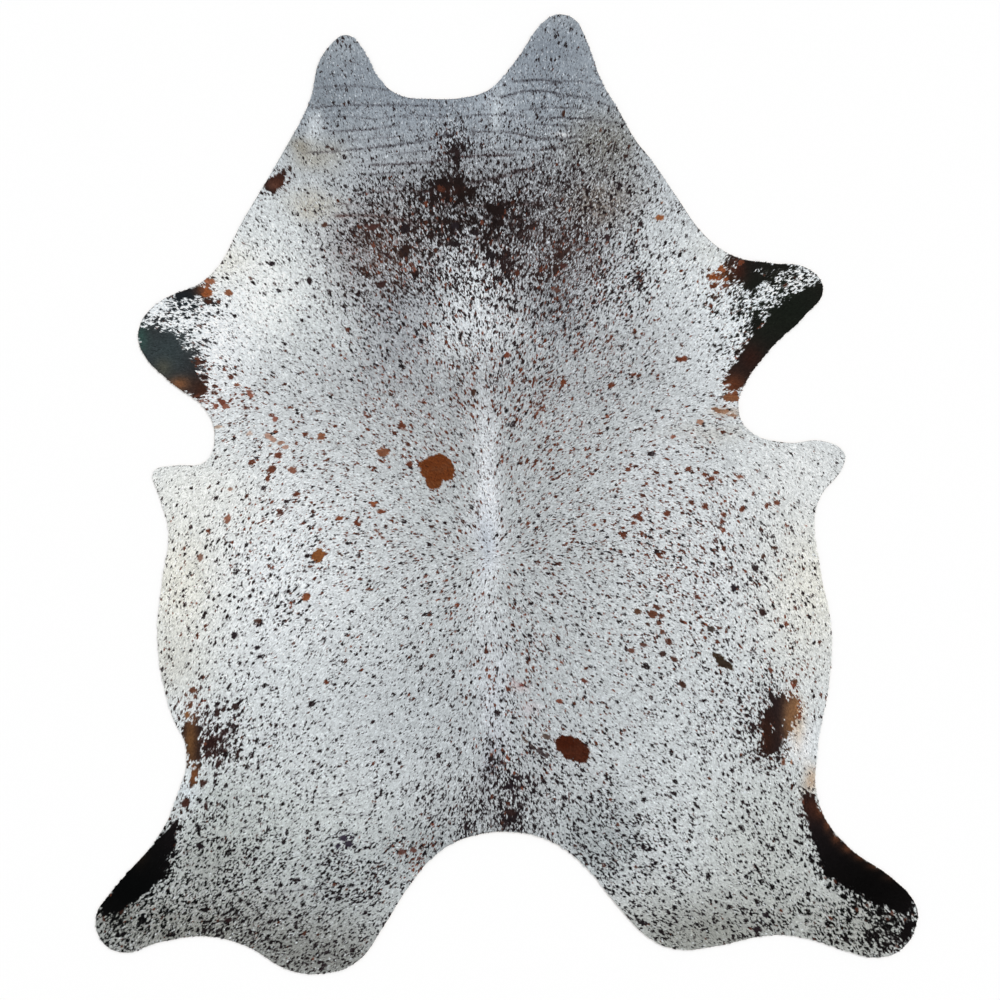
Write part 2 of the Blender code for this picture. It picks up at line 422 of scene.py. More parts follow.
# %% Ground tints
GROUND = (209, 214, 216)
TINTS = [
    # place  x  y  reach_x reach_y  colour  cover
    ("neck, steel blue", 470, 80, 260, 110, (138, 147, 157), 1.00),
    ("left lobe, deeper", 322, 92, 36, 46, (122, 131, 140), 0.60),
    ("right lobe, deeper", 556, 42, 32, 30, (122, 131, 142), 0.50),
    ("middle of the neck", 500, 98, 34, 32, (182, 190, 198), 0.60),
    ("withers", 470, 212, 110, 56, (138, 141, 146), 0.85),
    ("withers, middle", 462, 188, 30, 26, (140, 142, 146), 0.50),
    ("withers, pale gaps", 434, 238, 48, 22, (202, 206, 212), 0.75),
    ("left blade, smoky", 372, 246, 52, 44, (138, 134, 135), 0.80),
    ("right blade, smoky", 552, 244, 46, 60, (114, 113, 117), 0.85),
    ("bright between the blades", 474, 282, 50, 32, (230, 235, 240), 0.90),
    ("right neck, olive", 602, 150, 34, 34, (124, 122, 114), 0.80),
    ("right withers, grey", 566, 182, 40, 22, (122, 124, 128), 0.50),
    ("right neck, taupe", 596, 204, 32, 18, (116, 103, 90), 0.80),
    ("left shoulder, white", 258, 285, 52, 68, (240, 244, 243), 1.00),
    ("left neck edge", 285, 225, 50, 40, (214, 219, 221), 0.60),
    ("left shoulder rim, cream", 218, 266, 26, 20, (226, 220, 203), 0.60),
    ("right shoulder rim, cream", 712, 256, 26, 20, (206, 205, 194), 0.55),
    ("left foreleg root", 218, 345, 36, 66, (240, 244, 247), 0.95),
    ("left foreleg band", 168, 318, 34, 16, (242, 247, 251), 0.95),
    ("right shoulder, pale", 700, 310, 62, 80, (222, 227, 230), 0.90),
    ("right foreleg, white", 750, 325, 50, 58, (231, 237, 241), 0.95),
    ("right foreleg toe, white", 792, 282, 26, 18, (246, 250, 254), 0.95),
    ("back of the right blade", 554, 312, 42, 48, (132, 136, 142), 0.88),
    ("right of the right blade", 612, 284, 28, 28, (206, 211, 216), 0.65),
    ("right of the blade", 640, 338, 50, 40, (178, 182, 186), 0.50),
    ("back of the left blade", 404, 304, 42, 44, (142, 146, 152), 0.84),
    ("upper back", 480, 388, 150, 46, (155, 158, 162), 0.85),
    ("bright by the spine", 470, 330, 46, 32, (240, 245, 250), 1.00),
    ("left of the spine, smoky", 402, 348, 34, 34, (146, 150, 156), 0.60),
    ("back", 506, 520, 150, 200, (182, 187, 189), 0.85),
    ("back, upper half", 490, 455, 120, 36, (170, 174, 176), 0.40),
    ("rump", 470, 715, 150, 90, (172, 178, 182), 0.60),
    ("spine, rear", 497, 706, 15, 55, (212, 216, 224), 0.60),
    ("tail root, bluish", 491, 762, 8, 22, (118, 118, 132), 0.55),
    ("spine, pale line", 486, 505, 13, 110, (233, 236, 241), 0.90),
    ("spine, blue shade", 484, 542, 8, 34, (160, 169, 180), 0.55),
    ("left side, white", 262, 560, 95, 100, (231, 235, 238), 0.80),
    ("right side, white", 712, 560, 80, 80, (222, 226, 229), 0.60),
    ("right side, front", 660, 468, 44, 44, (216, 220, 224), 0.40),
    ("left belly, cream", 178, 575, 45, 90, (227, 226, 216), 0.90),
    ("left belly, low", 168, 668, 34, 30, (198, 197, 187), 0.50),
    ("left elbow", 200, 495, 60, 44, (230, 232, 228), 0.80),
    ("right belly, cream", 812, 585, 48, 84, (229, 228, 219), 0.90),
    ("right elbow", 800, 475, 60, 45, (226, 229, 229), 0.90),
    ("left flank", 225, 815, 44, 38, (180, 186, 185), 0.85),
    ("tail root", 500, 812, 68, 44, (160, 164, 166), 0.85),
    ("rump hem", 425, 850, 50, 32, (150, 156, 158), 0.80),
    ("left thigh", 255, 840, 115, 60, (186, 192, 190), 0.75),
    ("left hock, drab", 208, 862, 52, 30, (154, 158, 154), 0.70),
    ("left rump", 345, 890, 80, 50, (168, 174, 175), 0.78),
    ("left hind leg, drab", 190, 935, 110, 45, (130, 131, 125), 0.90),
    ("left hind toe, drab", 112, 918, 22, 28, (116, 118, 112), 0.70),
    ("left rump hem, drab", 315, 957, 100, 42, (130, 132, 128), 0.90),
    ("right thigh", 780, 855, 80, 90, (184, 188, 184), 0.70),
    ("right rump", 598, 838, 46, 44, (160, 167, 169), 0.75),
    ("right rump hem, drab", 705, 937, 112, 46, (145, 147, 141), 0.88),
    ("right hind leg, drab", 862, 934, 60, 40, (162, 164, 158), 0.82),
    ("right groin, white", 803, 742, 18, 24, (228, 232, 236), 0.95),
    ("right groin, tan", 808, 781, 8, 14, (178, 148, 120), 0.75),
    ("right flank, tan haze", 800, 722, 9, 24, (194, 168, 138), 0.60),
    ("left groin, bluish", 184, 792, 12, 16, (216, 224, 230), 0.80),
    ("left groin, shade", 170, 800, 14, 32, (186, 192, 194), 0.45),
    ("left foreleg, white hairs", 170, 332, 24, 12, (232, 238, 240), 0.60),
    ("right foreleg, white hairs", 790, 282, 22, 13, (232, 238, 240), 0.60),
    ("tail root, gaps", 520, 800, 70, 30, (198, 203, 206), 0.25),
    ("pink skin", 519, 683, 8, 6, (190, 158, 156), 0.45),
    ("pink skin, lower", 533, 712, 8, 8, (206, 192, 196), 0.50),
    ("cream, left neck", 314, 156, 24, 15, (172, 165, 148), 0.55),
    ("cream, left shoulder", 314, 205, 24, 13, (186, 179, 162), 0.55),
    # Painted highlight: a pale glint on the hair at the left neck's edge.
    ("left neck, painted glint", 315, 127, 8, 18, (226, 232, 236), 0.70),
    ("left neck, olive smudge", 302, 145, 13, 8, (140, 132, 114), 0.55),
    ("pale strip, neck", 500, 118, 6, 34, (202, 210, 216), 0.70),
    ("old scar", 562, 135, 7, 1.8, (236, 239, 241), 0.95),
    ("tan, right foreleg heel", 727, 412, 13, 4, (170, 146, 126), 0.70),
    # Painted shade in the crease of the right elbow.
    ("right elbow crease, painted shade", 712, 432, 40, 10, (190, 186, 176), 0.35),
]
TINT_WANDER = 6.0
TINT_PITCH = 31.0


def soft_spot(x, y, at_x, at_y, reach_x, reach_y):
    """1 at a place, falling softly to 0 beyond its reach."""
    return np.exp(-(((x - at_x) / reach_x) ** 2) - ((y - at_y) / reach_y) ** 2)


def lay_over(ground, colour, cover):
    """Mix a colour over the ground, by how strongly it covers at each point."""
    return ground + (np.array(colour, float) - ground) * cover[:, None]


def lay_tints(x, y, base, table, wander=0.0):
    """Soft spots of colour over a base, seen, 0 to 255. All but the smallest wander a little."""
    colour = np.tile(np.array(base, float), (len(x), 1))
    off_x = x + wander * smooth_noise(x, y, TINT_PITCH, 0)
    off_y = y + wander * smooth_noise(x, y, TINT_PITCH, 1)
    for _, at_x, at_y, reach_x, reach_y, tint, cover in table:
        small = min(reach_x, reach_y) < wander
        spot_x, spot_y = (x, y) if small else (off_x, off_y)
        colour = lay_over(colour, tint, cover * soft_spot(spot_x, spot_y, at_x, at_y, reach_x, reach_y))
    return colour


def ground_colour(x, y):
    """The light hair's colour at each pixel place."""
    return lay_tints(x, y, GROUND, TINTS, TINT_WANDER)


print("tints:", len(TINTS))

# %% [markdown]
# ## Dark patches on the legs and flanks
#
# The solid dark areas are near the rim, on all four legs and both flanks, and at the withers. Each
# is a chain of short rounded strokes with a ragged edge, given by its two ends and its half width
# there. Real patches don't stop at a line: they break up into flecks, so each stroke also says
# how thickly the flecks lie just outside it, and how far they reach.

# %% Patches
PATCHES = [
    # place  x0  y0  x1  y1  half0 half1 ragged fringe reach
    ("left foreleg, top", 180, 295, 200, 291, 5.0, 5.0, 2.5, 0.45, 8),
    ("left foreleg, tip", 144, 335, 168, 353, 8.0, 17.0, 3.0, 0.44, 11),
    ("left foreleg, middle", 168, 353, 190, 380, 17.0, 12.0, 3.0, 0.50, 12),
    ("left foreleg, heel", 190, 380, 202, 391, 12.0, 5.5, 2.5, 0.35, 9),
    ("left foreleg, rim", 144, 350, 178, 389, 8.0, 7.0, 1.0, 0.10, 6),
    ("right foreleg, top", 745, 266, 786, 267, 6.0, 3.0, 4.0, 0.55, 12),
    ("right foreleg, under it", 745, 277, 766, 279, 8.5, 6.0, 5.0, 0.60, 14),
    ("right foreleg, tip", 812, 294, 789, 313, 8.0, 12.0, 3.0, 0.44, 11),
    ("right foreleg, edge", 789, 313, 766, 338, 12.0, 12.0, 3.5, 0.50, 12),
    ("right foreleg, edge low", 766, 338, 748, 362, 12.0, 10.0, 3.5, 0.40, 10),
    ("right foreleg, rim", 820, 290, 796, 326, 7.0, 7.0, 1.0, 0.10, 6),
    ("right foreleg, heel", 748, 362, 736, 382, 10.0, 8.0, 3.5, 0.30, 8),
    ("left hind leg, top", 177, 822, 163, 848, 3.0, 9.0, 2.5, 0.30, 6),
    ("left hind leg, hock", 163, 848, 150, 868, 9.0, 15.0, 3.0, 0.30, 7),
    ("left hind leg, middle", 150, 868, 129, 890, 15.0, 13.0, 3.0, 0.40, 8),
    ("left hind leg, foot", 129, 890, 110, 905, 13.0, 7.0, 3.0, 0.50, 10),
    ("right hind leg, top", 809, 801, 820, 832, 6.0, 10.0, 2.5, 0.30, 7),
    ("right hind leg, hock", 820, 832, 841, 864, 10.0, 17.0, 3.0, 0.35, 8),
    ("right hind leg, middle", 841, 864, 872, 883, 17.0, 16.0, 3.0, 0.45, 10),
    ("right hind leg, foot", 872, 883, 903, 899, 16.0, 12.0, 3.0, 0.50, 12),
    ("right hind leg, toe", 908, 924, 904, 938, 4.0, 4.0, 3.0, 0.50, 12),
    ("left flank, brown", 191, 732, 194, 756, 7.5, 5.0, 3.0, 0.30, 8),
    ("left flank, dark", 205, 738, 209, 743, 1.0, 0.8, 4.0, 0.45, 12),
    ("left flank, streak", 197, 768, 192, 783, 1.0, 2.0, 3.5, 0.10, 5),
    ("right flank, dark", 769, 716, 768, 748, 4.0, 5.0, 5.5, 0.55, 13),
    ("right flank, red", 782, 700, 782, 716, 2.0, 4.0, 4.0, 0.40, 10),
    ("right flank, middle", 779, 712, 775, 746, 4.5, 4.5, 4.0, 0.30, 8),
    ("right flank, upper streaks", 772, 694, 776, 706, 0.5, 2.5, 5.0, 0.55, 10),
    ("right flank, brown", 792, 703, 783, 736, 4.0, 2.5, 3.5, 0.30, 8),
    ("withers, upper", 438, 183, 462, 186, 3.0, 4.0, 5.5, 0.50, 12),
    ("withers, middle", 436, 193, 466, 194, 2.0, 2.5, 5.5, 0.50, 12),
    ("withers, right", 489, 210, 502, 211, 2.0, 3.0, 5.0, 0.50, 10),
    ("withers, right low", 489, 225, 502, 223, 0.8, 1.0, 5.0, 0.40, 10),
    ("withers, lowest", 493, 251, 499, 259, 1.0, 1.0, 5.0, 0.40, 10),
    ("left blade, dark", 400, 253, 406, 251, 1.5, 1.5, 5.0, 0.40, 10),
    ("left neck edge", 272, 186, 280, 179, 7.5, 5.5, 2.0, 0.25, 6),
]


TUFT = (5.3, 1.8, 2.2)
TUFT_SHARE = 0.4
TUFT_REACH = 1.6
PATCH_EDGE = 0.8


def stroke_depth(x, y, row):
    """How deep a place is inside a rounded stroke, in pixels: negative outside it."""
    x0, y0, x1, y1, half0, half1 = row[1:7]
    span_x, span_y = x1 - x0, y1 - y0
    t = np.clip(((x - x0) * span_x + (y - y0) * span_y) / (span_x ** 2 + span_y ** 2), 0.0, 1.0)
    return half0 + (half1 - half0) * t - np.hypot(x - x0 - t * span_x, y - y0 - t * span_y)


def patch_cover(x, y, way_x, way_y):
    """1 inside the patches and 0 outside, with the share of flecks that their fringes ask for."""
    tufts, _ = fleck_field(x, y, way_x, way_y, *TUFT, np.full(x.shape, TUFT_SHARE), 5)
    edge = 0.6 * smooth_noise(x, y, 8.5, 2) + 0.4 * smooth_noise(x, y, 3.1, 3)
    edge += 0.9 * (np.minimum(tufts, TUFT_REACH) - TUFT_REACH / 2.0)
    cover = np.zeros(x.shape)
    clear = np.ones(x.shape)
    for row in PATCHES:
        ragged, fringe, reach = row[7:10]
        depth = stroke_depth(x, y, row)
        cover = np.maximum(cover, np.clip((depth + ragged * edge) / PATCH_EDGE + 0.5, 0.0, 1.0))
        clear *= 1.0 - fringe * np.exp(-((np.minimum(depth, 0.0) / reach) ** 2))
    return cover, 1.0 - clear


print("patches:", len(PATCHES))

# %% [markdown]
# ## The colour of the dark hair
#
# Dark hair isn't one black either. The left foreleg is slate, the right one greenish black, the
# hind legs are black with a brown glow at the rim, and the flanks run from dark brown to tan. These
# soft tints colour the patches and the flecks round them alike, which is what ties them together.

# %% Pigment tints
PIGMENT = (36, 27, 28)
PIGMENT_TINTS = [
    # place  x  y  reach_x reach_y  colour  cover
    ("hind quarters, black", 500, 900, 480, 110, (22, 17, 20), 0.85),
    ("left foreleg, slate", 165, 352, 45, 45, (54, 63, 65), 1.00),
    ("left foreleg, teal tip", 141, 338, 7, 16, (54, 82, 76), 0.80),
    ("left foreleg, top", 190, 302, 28, 18, (26, 34, 38), 0.90),
    ("left foreleg, olive rim", 163, 368, 9, 9, (78, 78, 68), 0.80),
    ("left foreleg, rusty rim", 180, 384, 11, 7, (126, 84, 56), 0.90),
    ("left foreleg, brown heel", 203, 389, 13, 12, (54, 34, 26), 0.90),
    ("left foreleg, rust top", 207, 290, 10, 9, (124, 72, 46), 0.95),
    ("left foreleg, brown dots", 222, 402, 24, 12, (100, 56, 40), 0.90),
    ("right foreleg, green", 786, 306, 80, 62, (21, 26, 20), 0.95),
    ("right foreleg, brown top", 738, 270, 8, 13, (62, 32, 24), 0.80),
    ("right foreleg, rusty top", 716, 279, 13, 17, (118, 66, 38), 0.95),
    ("right foreleg, brown rim", 751, 358, 12, 14, (50, 27, 21), 0.80),
    ("right foreleg, heel", 732, 386, 15, 13, (98, 54, 34), 0.90),
    ("left hind leg, black", 130, 890, 90, 90, (2, 3, 3), 1.00),
    ("left hind leg, brown rim", 139, 853, 8, 11, (42, 29, 18), 0.60),
    ("left hind leg, brown top", 176, 808, 14, 10, (56, 34, 27), 0.80),
    ("left flank, brown", 191, 740, 7, 27, (110, 76, 46), 0.95),
    ("left flank, dark brown", 214, 742, 14, 24, (48, 30, 27), 0.90),
    ("left flank, streak", 194, 776, 8, 12, (118, 74, 46), 0.90),
    ("left flank, top dots", 190, 700, 12, 18, (100, 62, 46), 0.80),
    ("right flank, dark brown", 766, 735, 10, 28, (48, 28, 20), 0.92),
    ("right flank, brown", 790, 720, 8, 28, (132, 96, 66), 0.95),
    ("right flank, tan", 799, 706, 8, 12, (160, 116, 78), 0.90),
    ("right hind leg, black", 866, 890, 90, 72, (4, 3, 3), 1.00),
    ("right hind leg, top", 812, 806, 12, 14, (60, 33, 24), 0.85),
    ("right hind leg, rim 1", 820, 811, 5, 8, (88, 50, 33), 0.80),
    ("right hind leg, rim 2", 827, 825, 4, 7, (100, 60, 40), 0.80),
    ("right hind leg, rim 3", 836, 838, 5, 6, (98, 58, 38), 0.80),
    ("right hind leg, rim 4", 848, 848, 7, 5, (100, 60, 40), 0.80),
    ("right hind leg, rim 5", 861, 857, 8, 4, (84, 50, 33), 0.80),
    ("right hind leg, rim 6", 875, 866, 9, 4, (76, 45, 30), 0.75),
    ("right hind leg, rim 7", 890, 877, 8, 4, (50, 30, 20), 0.70),
    ("withers, brown black", 460, 206, 95, 50, (28, 20, 18), 0.85),
    ("withers, brown heart", 452, 191, 12, 5, (60, 34, 28), 0.45),
    ("left neck edge, brown", 278, 182, 13, 11, (70, 42, 32), 0.95),
    ("left neck edge, reddish", 274, 186, 6, 4, (112, 74, 60), 0.60),
    ("left blade, brown", 382, 260, 36, 34, (62, 42, 34), 0.80),
    ("right blade, brown", 562, 256, 42, 40, (56, 39, 34), 0.75),
]
RUST_FLECK = (98, 53, 38)
RUSTY = [
    # place  x  y  reach_x reach_y  share
    ("middle of the back", 530, 440, 180, 90, 0.88),
    ("lower back", 505, 580, 150, 90, 0.45),
    ("upper left back", 410, 430, 85, 90, 0.72),
    ("right ribs", 670, 490, 100, 80, 0.78),
    ("right side, low", 700, 610, 90, 60, 0.45),
    ("left ribs", 310, 470, 110, 75, 0.78),
    ("left foreleg, inner", 230, 400, 50, 34, 0.80),
    ("right shoulder", 600, 340, 80, 50, 0.45),
    ("left blade", 385, 250, 60, 45, 0.13),
    ("right blade", 584, 268, 56, 48, 0.14),
    ("rump", 560, 690, 80, 60, 0.55),
    ("left rump edge", 415, 855, 34, 24, 0.55),
    ("right belly", 808, 670, 34, 60, 0.80),
    ("left belly", 178, 640, 30, 70, 0.55),
]


def soft_share(x, y, table, base):
    """Add up soft spots of a share, so that overlapping ones approach 1 and never pass it."""
    clear = np.full(x.shape, 1.0 - base)
    for _, at_x, at_y, reach_x, reach_y, share in table:
        clear *= 1.0 - share * soft_spot(x, y, at_x, at_y, reach_x, reach_y)
    return 1.0 - clear


def pigment_colour(x, y):
    """The dark hair's colour at each pixel place."""
    return lay_tints(x, y, PIGMENT, PIGMENT_TINTS)


print("pigment tints:", len(PIGMENT_TINTS), "rusty areas:", len(RUSTY))

# %% [markdown]
# ## How thick the speckles lie
#
# The whole coat is speckled, thinly over the ribs, and thickly over the withers, at the tail root
# and on the legs. Three more tables go with that one. CLEAN says where speckles are missing, as at
# the elbows. COARSE says where they gather in larger clumps. TICKING is for single hairs of the
# other colour, too fine to be flecks, which turn the neck and the withers smoky.

# %% Speckles and ticking
SPECKLED = 0.12
SPECKLES = [
    # place  x  y  reach_x reach_y  share
    ("neck column", 455, 148, 13, 32, 0.66),
    ("neck column, beside", 440, 140, 18, 18, 0.22),
    ("neck, right ticks", 530, 165, 60, 40, 0.10),
    ("right withers", 566, 190, 52, 26, 0.26),
    ("left withers", 378, 196, 36, 20, 0.20),
    ("withers, heart", 452, 192, 38, 22, 0.62),
    ("withers, band", 440, 230, 90, 28, 0.60),
    ("withers, right column", 500, 238, 24, 36, 0.55),
    ("between the blades", 450, 272, 84, 34, 0.36),
    ("left blade", 388, 256, 46, 44, 0.44),
    ("right blade", 556, 260, 54, 50, 0.45),
    ("upper back", 505, 352, 110, 60, 0.10),
    ("spine, front", 506, 388, 40, 32, 0.22),
    ("left of the spine, front", 396, 330, 34, 34, 0.12),
    ("right of the blades", 632, 296, 50, 50, 0.17),
    ("middle of the back", 505, 580, 90, 110, 0.06),
    ("spine, rear", 512, 705, 30, 56, 0.15),
    ("left foreleg, top", 192, 309, 17, 11, 0.28),
    ("left foreleg, tail", 208, 315, 12, 6, 0.34),
    ("left foreleg, band", 168, 318, 26, 14, 0.14),
    ("left foreleg, dots", 222, 400, 18, 14, 0.08),
    ("right foreleg, top", 775, 270, 18, 12, 0.48),
    ("right foreleg, toe", 804, 278, 16, 12, 0.34),
    ("right foreleg, middle", 742, 297, 34, 24, 0.62),
    ("right foreleg, low", 730, 345, 20, 34, 0.28),
    ("right foreleg, rusty top", 717, 279, 11, 12, 0.40),
    ("right foreleg, heel dots", 732, 394, 8, 8, 0.45),
    ("cluster, right blade", 632, 252, 9, 12, 0.75),
    ("cluster below it", 642, 284, 9, 13, 0.70),
    ("left flank", 214, 739, 21, 26, 0.60),
    ("left flank, fan", 238, 742, 26, 34, 0.20),
    ("left flank, top", 196, 705, 18, 16, 0.18),
    ("right flank", 758, 725, 20, 36, 0.36),
    ("right flank, fan", 738, 736, 24, 44, 0.15),
    ("right flank, top", 776, 690, 24, 16, 0.28),
    ("left hind leg, toe", 118, 930, 34, 20, 0.48),
    ("left hind leg, sole", 190, 915, 70, 28, 0.36),
    ("left thigh", 225, 855, 60, 55, 0.24),
    ("left hock", 204, 815, 24, 20, 0.10),
    ("left rump hem", 300, 945, 80, 24, 0.22),
    ("left rump", 360, 876, 46, 34, 0.44),
    ("left rump, low", 305, 905, 60, 30, 0.12),
    ("tail root", 503, 792, 18, 46, 0.60),
    ("tail root, edge", 500, 824, 32, 14, 0.50),
    ("tail root, left streak", 468, 814, 8, 18, 0.35),
    ("left of the tail", 442, 824, 42, 34, 0.24),
    ("right of the tail", 545, 778, 32, 44, 0.26),
    ("right rump", 615, 845, 52, 44, 0.28),
    ("right hind leg, toe", 886, 930, 34, 22, 0.84),
    ("right hind leg, sole", 840, 925, 50, 24, 0.34),
    ("right thigh", 776, 858, 50, 66, 0.15),
    ("right rump hem", 715, 925, 100, 26, 0.24),
    ("left ribs", 256, 560, 60, 90, 0.08),
    ("right ribs", 682, 548, 75, 80, 0.14),
    ("right rump, upper", 604, 806, 30, 24, 0.10),
    ("right side, middle", 652, 530, 40, 30, 0.06),
    ("right flank field", 715, 660, 60, 60, 0.06),
]
CLEAN = [
    # place  x  y  reach_x reach_y  share of the speckles left out
    ("neck", 470, 80, 240, 56, 0.90),
    ("left neck", 340, 145, 60, 30, 0.75),
    ("left neck, low", 292, 215, 46, 56, 0.85),
    ("right shoulder top", 705, 238, 50, 46, 0.85),
    ("left side", 212, 575, 36, 100, 0.28),
    ("left shoulder", 270, 312, 60, 74, 0.75),
    ("left elbow", 190, 478, 66, 40, 0.97),
    ("left belly edge", 166, 570, 20, 90, 0.50),
    ("right shoulder", 692, 350, 46, 60, 0.65),
    ("right side, front", 648, 440, 40, 34, 0.50),
    ("right elbow", 796, 462, 70, 40, 0.98),
    ("right groin", 804, 746, 20, 32, 0.92),
    ("right belly rim", 826, 610, 18, 110, 0.65),
    ("beside the right hind leg", 806, 846, 18, 30, 0.50),
    ("left rump, upper", 352, 806, 34, 20, 0.50),
    ("spine, pale line", 488, 490, 14, 100, 0.85),
    ("left loin", 390, 720, 60, 46, 0.55),
]
COARSE = [
    # place  x  y  reach_x reach_y  share of coarse flecks
    ("left flank", 218, 740, 34, 36, 1.00),
    ("right flank", 760, 728, 34, 44, 0.60),
    ("right foreleg", 752, 312, 50, 50, 0.65),
    ("left foreleg", 195, 330, 40, 50, 0.40),
    ("withers", 450, 222, 80, 40, 0.60),
    ("right hind leg, toe", 870, 930, 60, 30, 0.90),
    ("left hind leg, toe", 150, 925, 80, 30, 0.30),
    ("right thigh", 780, 850, 80, 80, 0.12),
    ("tail root", 505, 790, 40, 50, 0.30),
    ("left belly", 240, 640, 50, 60, 0.40),
]
TICKED = 0.05
TICKING = [
    # place  x  y  reach_x reach_y  share
    ("neck", 470, 110, 190, 50, 0.08),
    ("right neck", 590, 185, 70, 70, 0.34),
    ("withers", 470, 216, 120, 44, 0.46),
    ("left blade", 382, 268, 46, 44, 0.26),
    ("right blade", 560, 272, 52, 52, 0.30),
    ("back", 505, 380, 170, 100, 0.12),
    ("back, low", 505, 560, 130, 160, 0.04),
    ("neck column", 450, 145, 18, 30, 0.40),
    ("tail root", 500, 806, 50, 50, 0.20),
    ("left hind leg", 200, 930, 130, 40, 0.12),
]
print("speckle areas:", len(SPECKLES), "clean:", len(CLEAN), "coarse:", len(COARSE))

# %% [markdown]
# ## Single spots
#
# A handful of larger spots can be told apart by eye: two big rust spots by the spine, and a
# scatter of smaller ones. Each is an oval with a ragged edge: its middle, length, width, the angle
# of its length over the horizontal, and its colour. Overlapping ovals make the uneven ones.

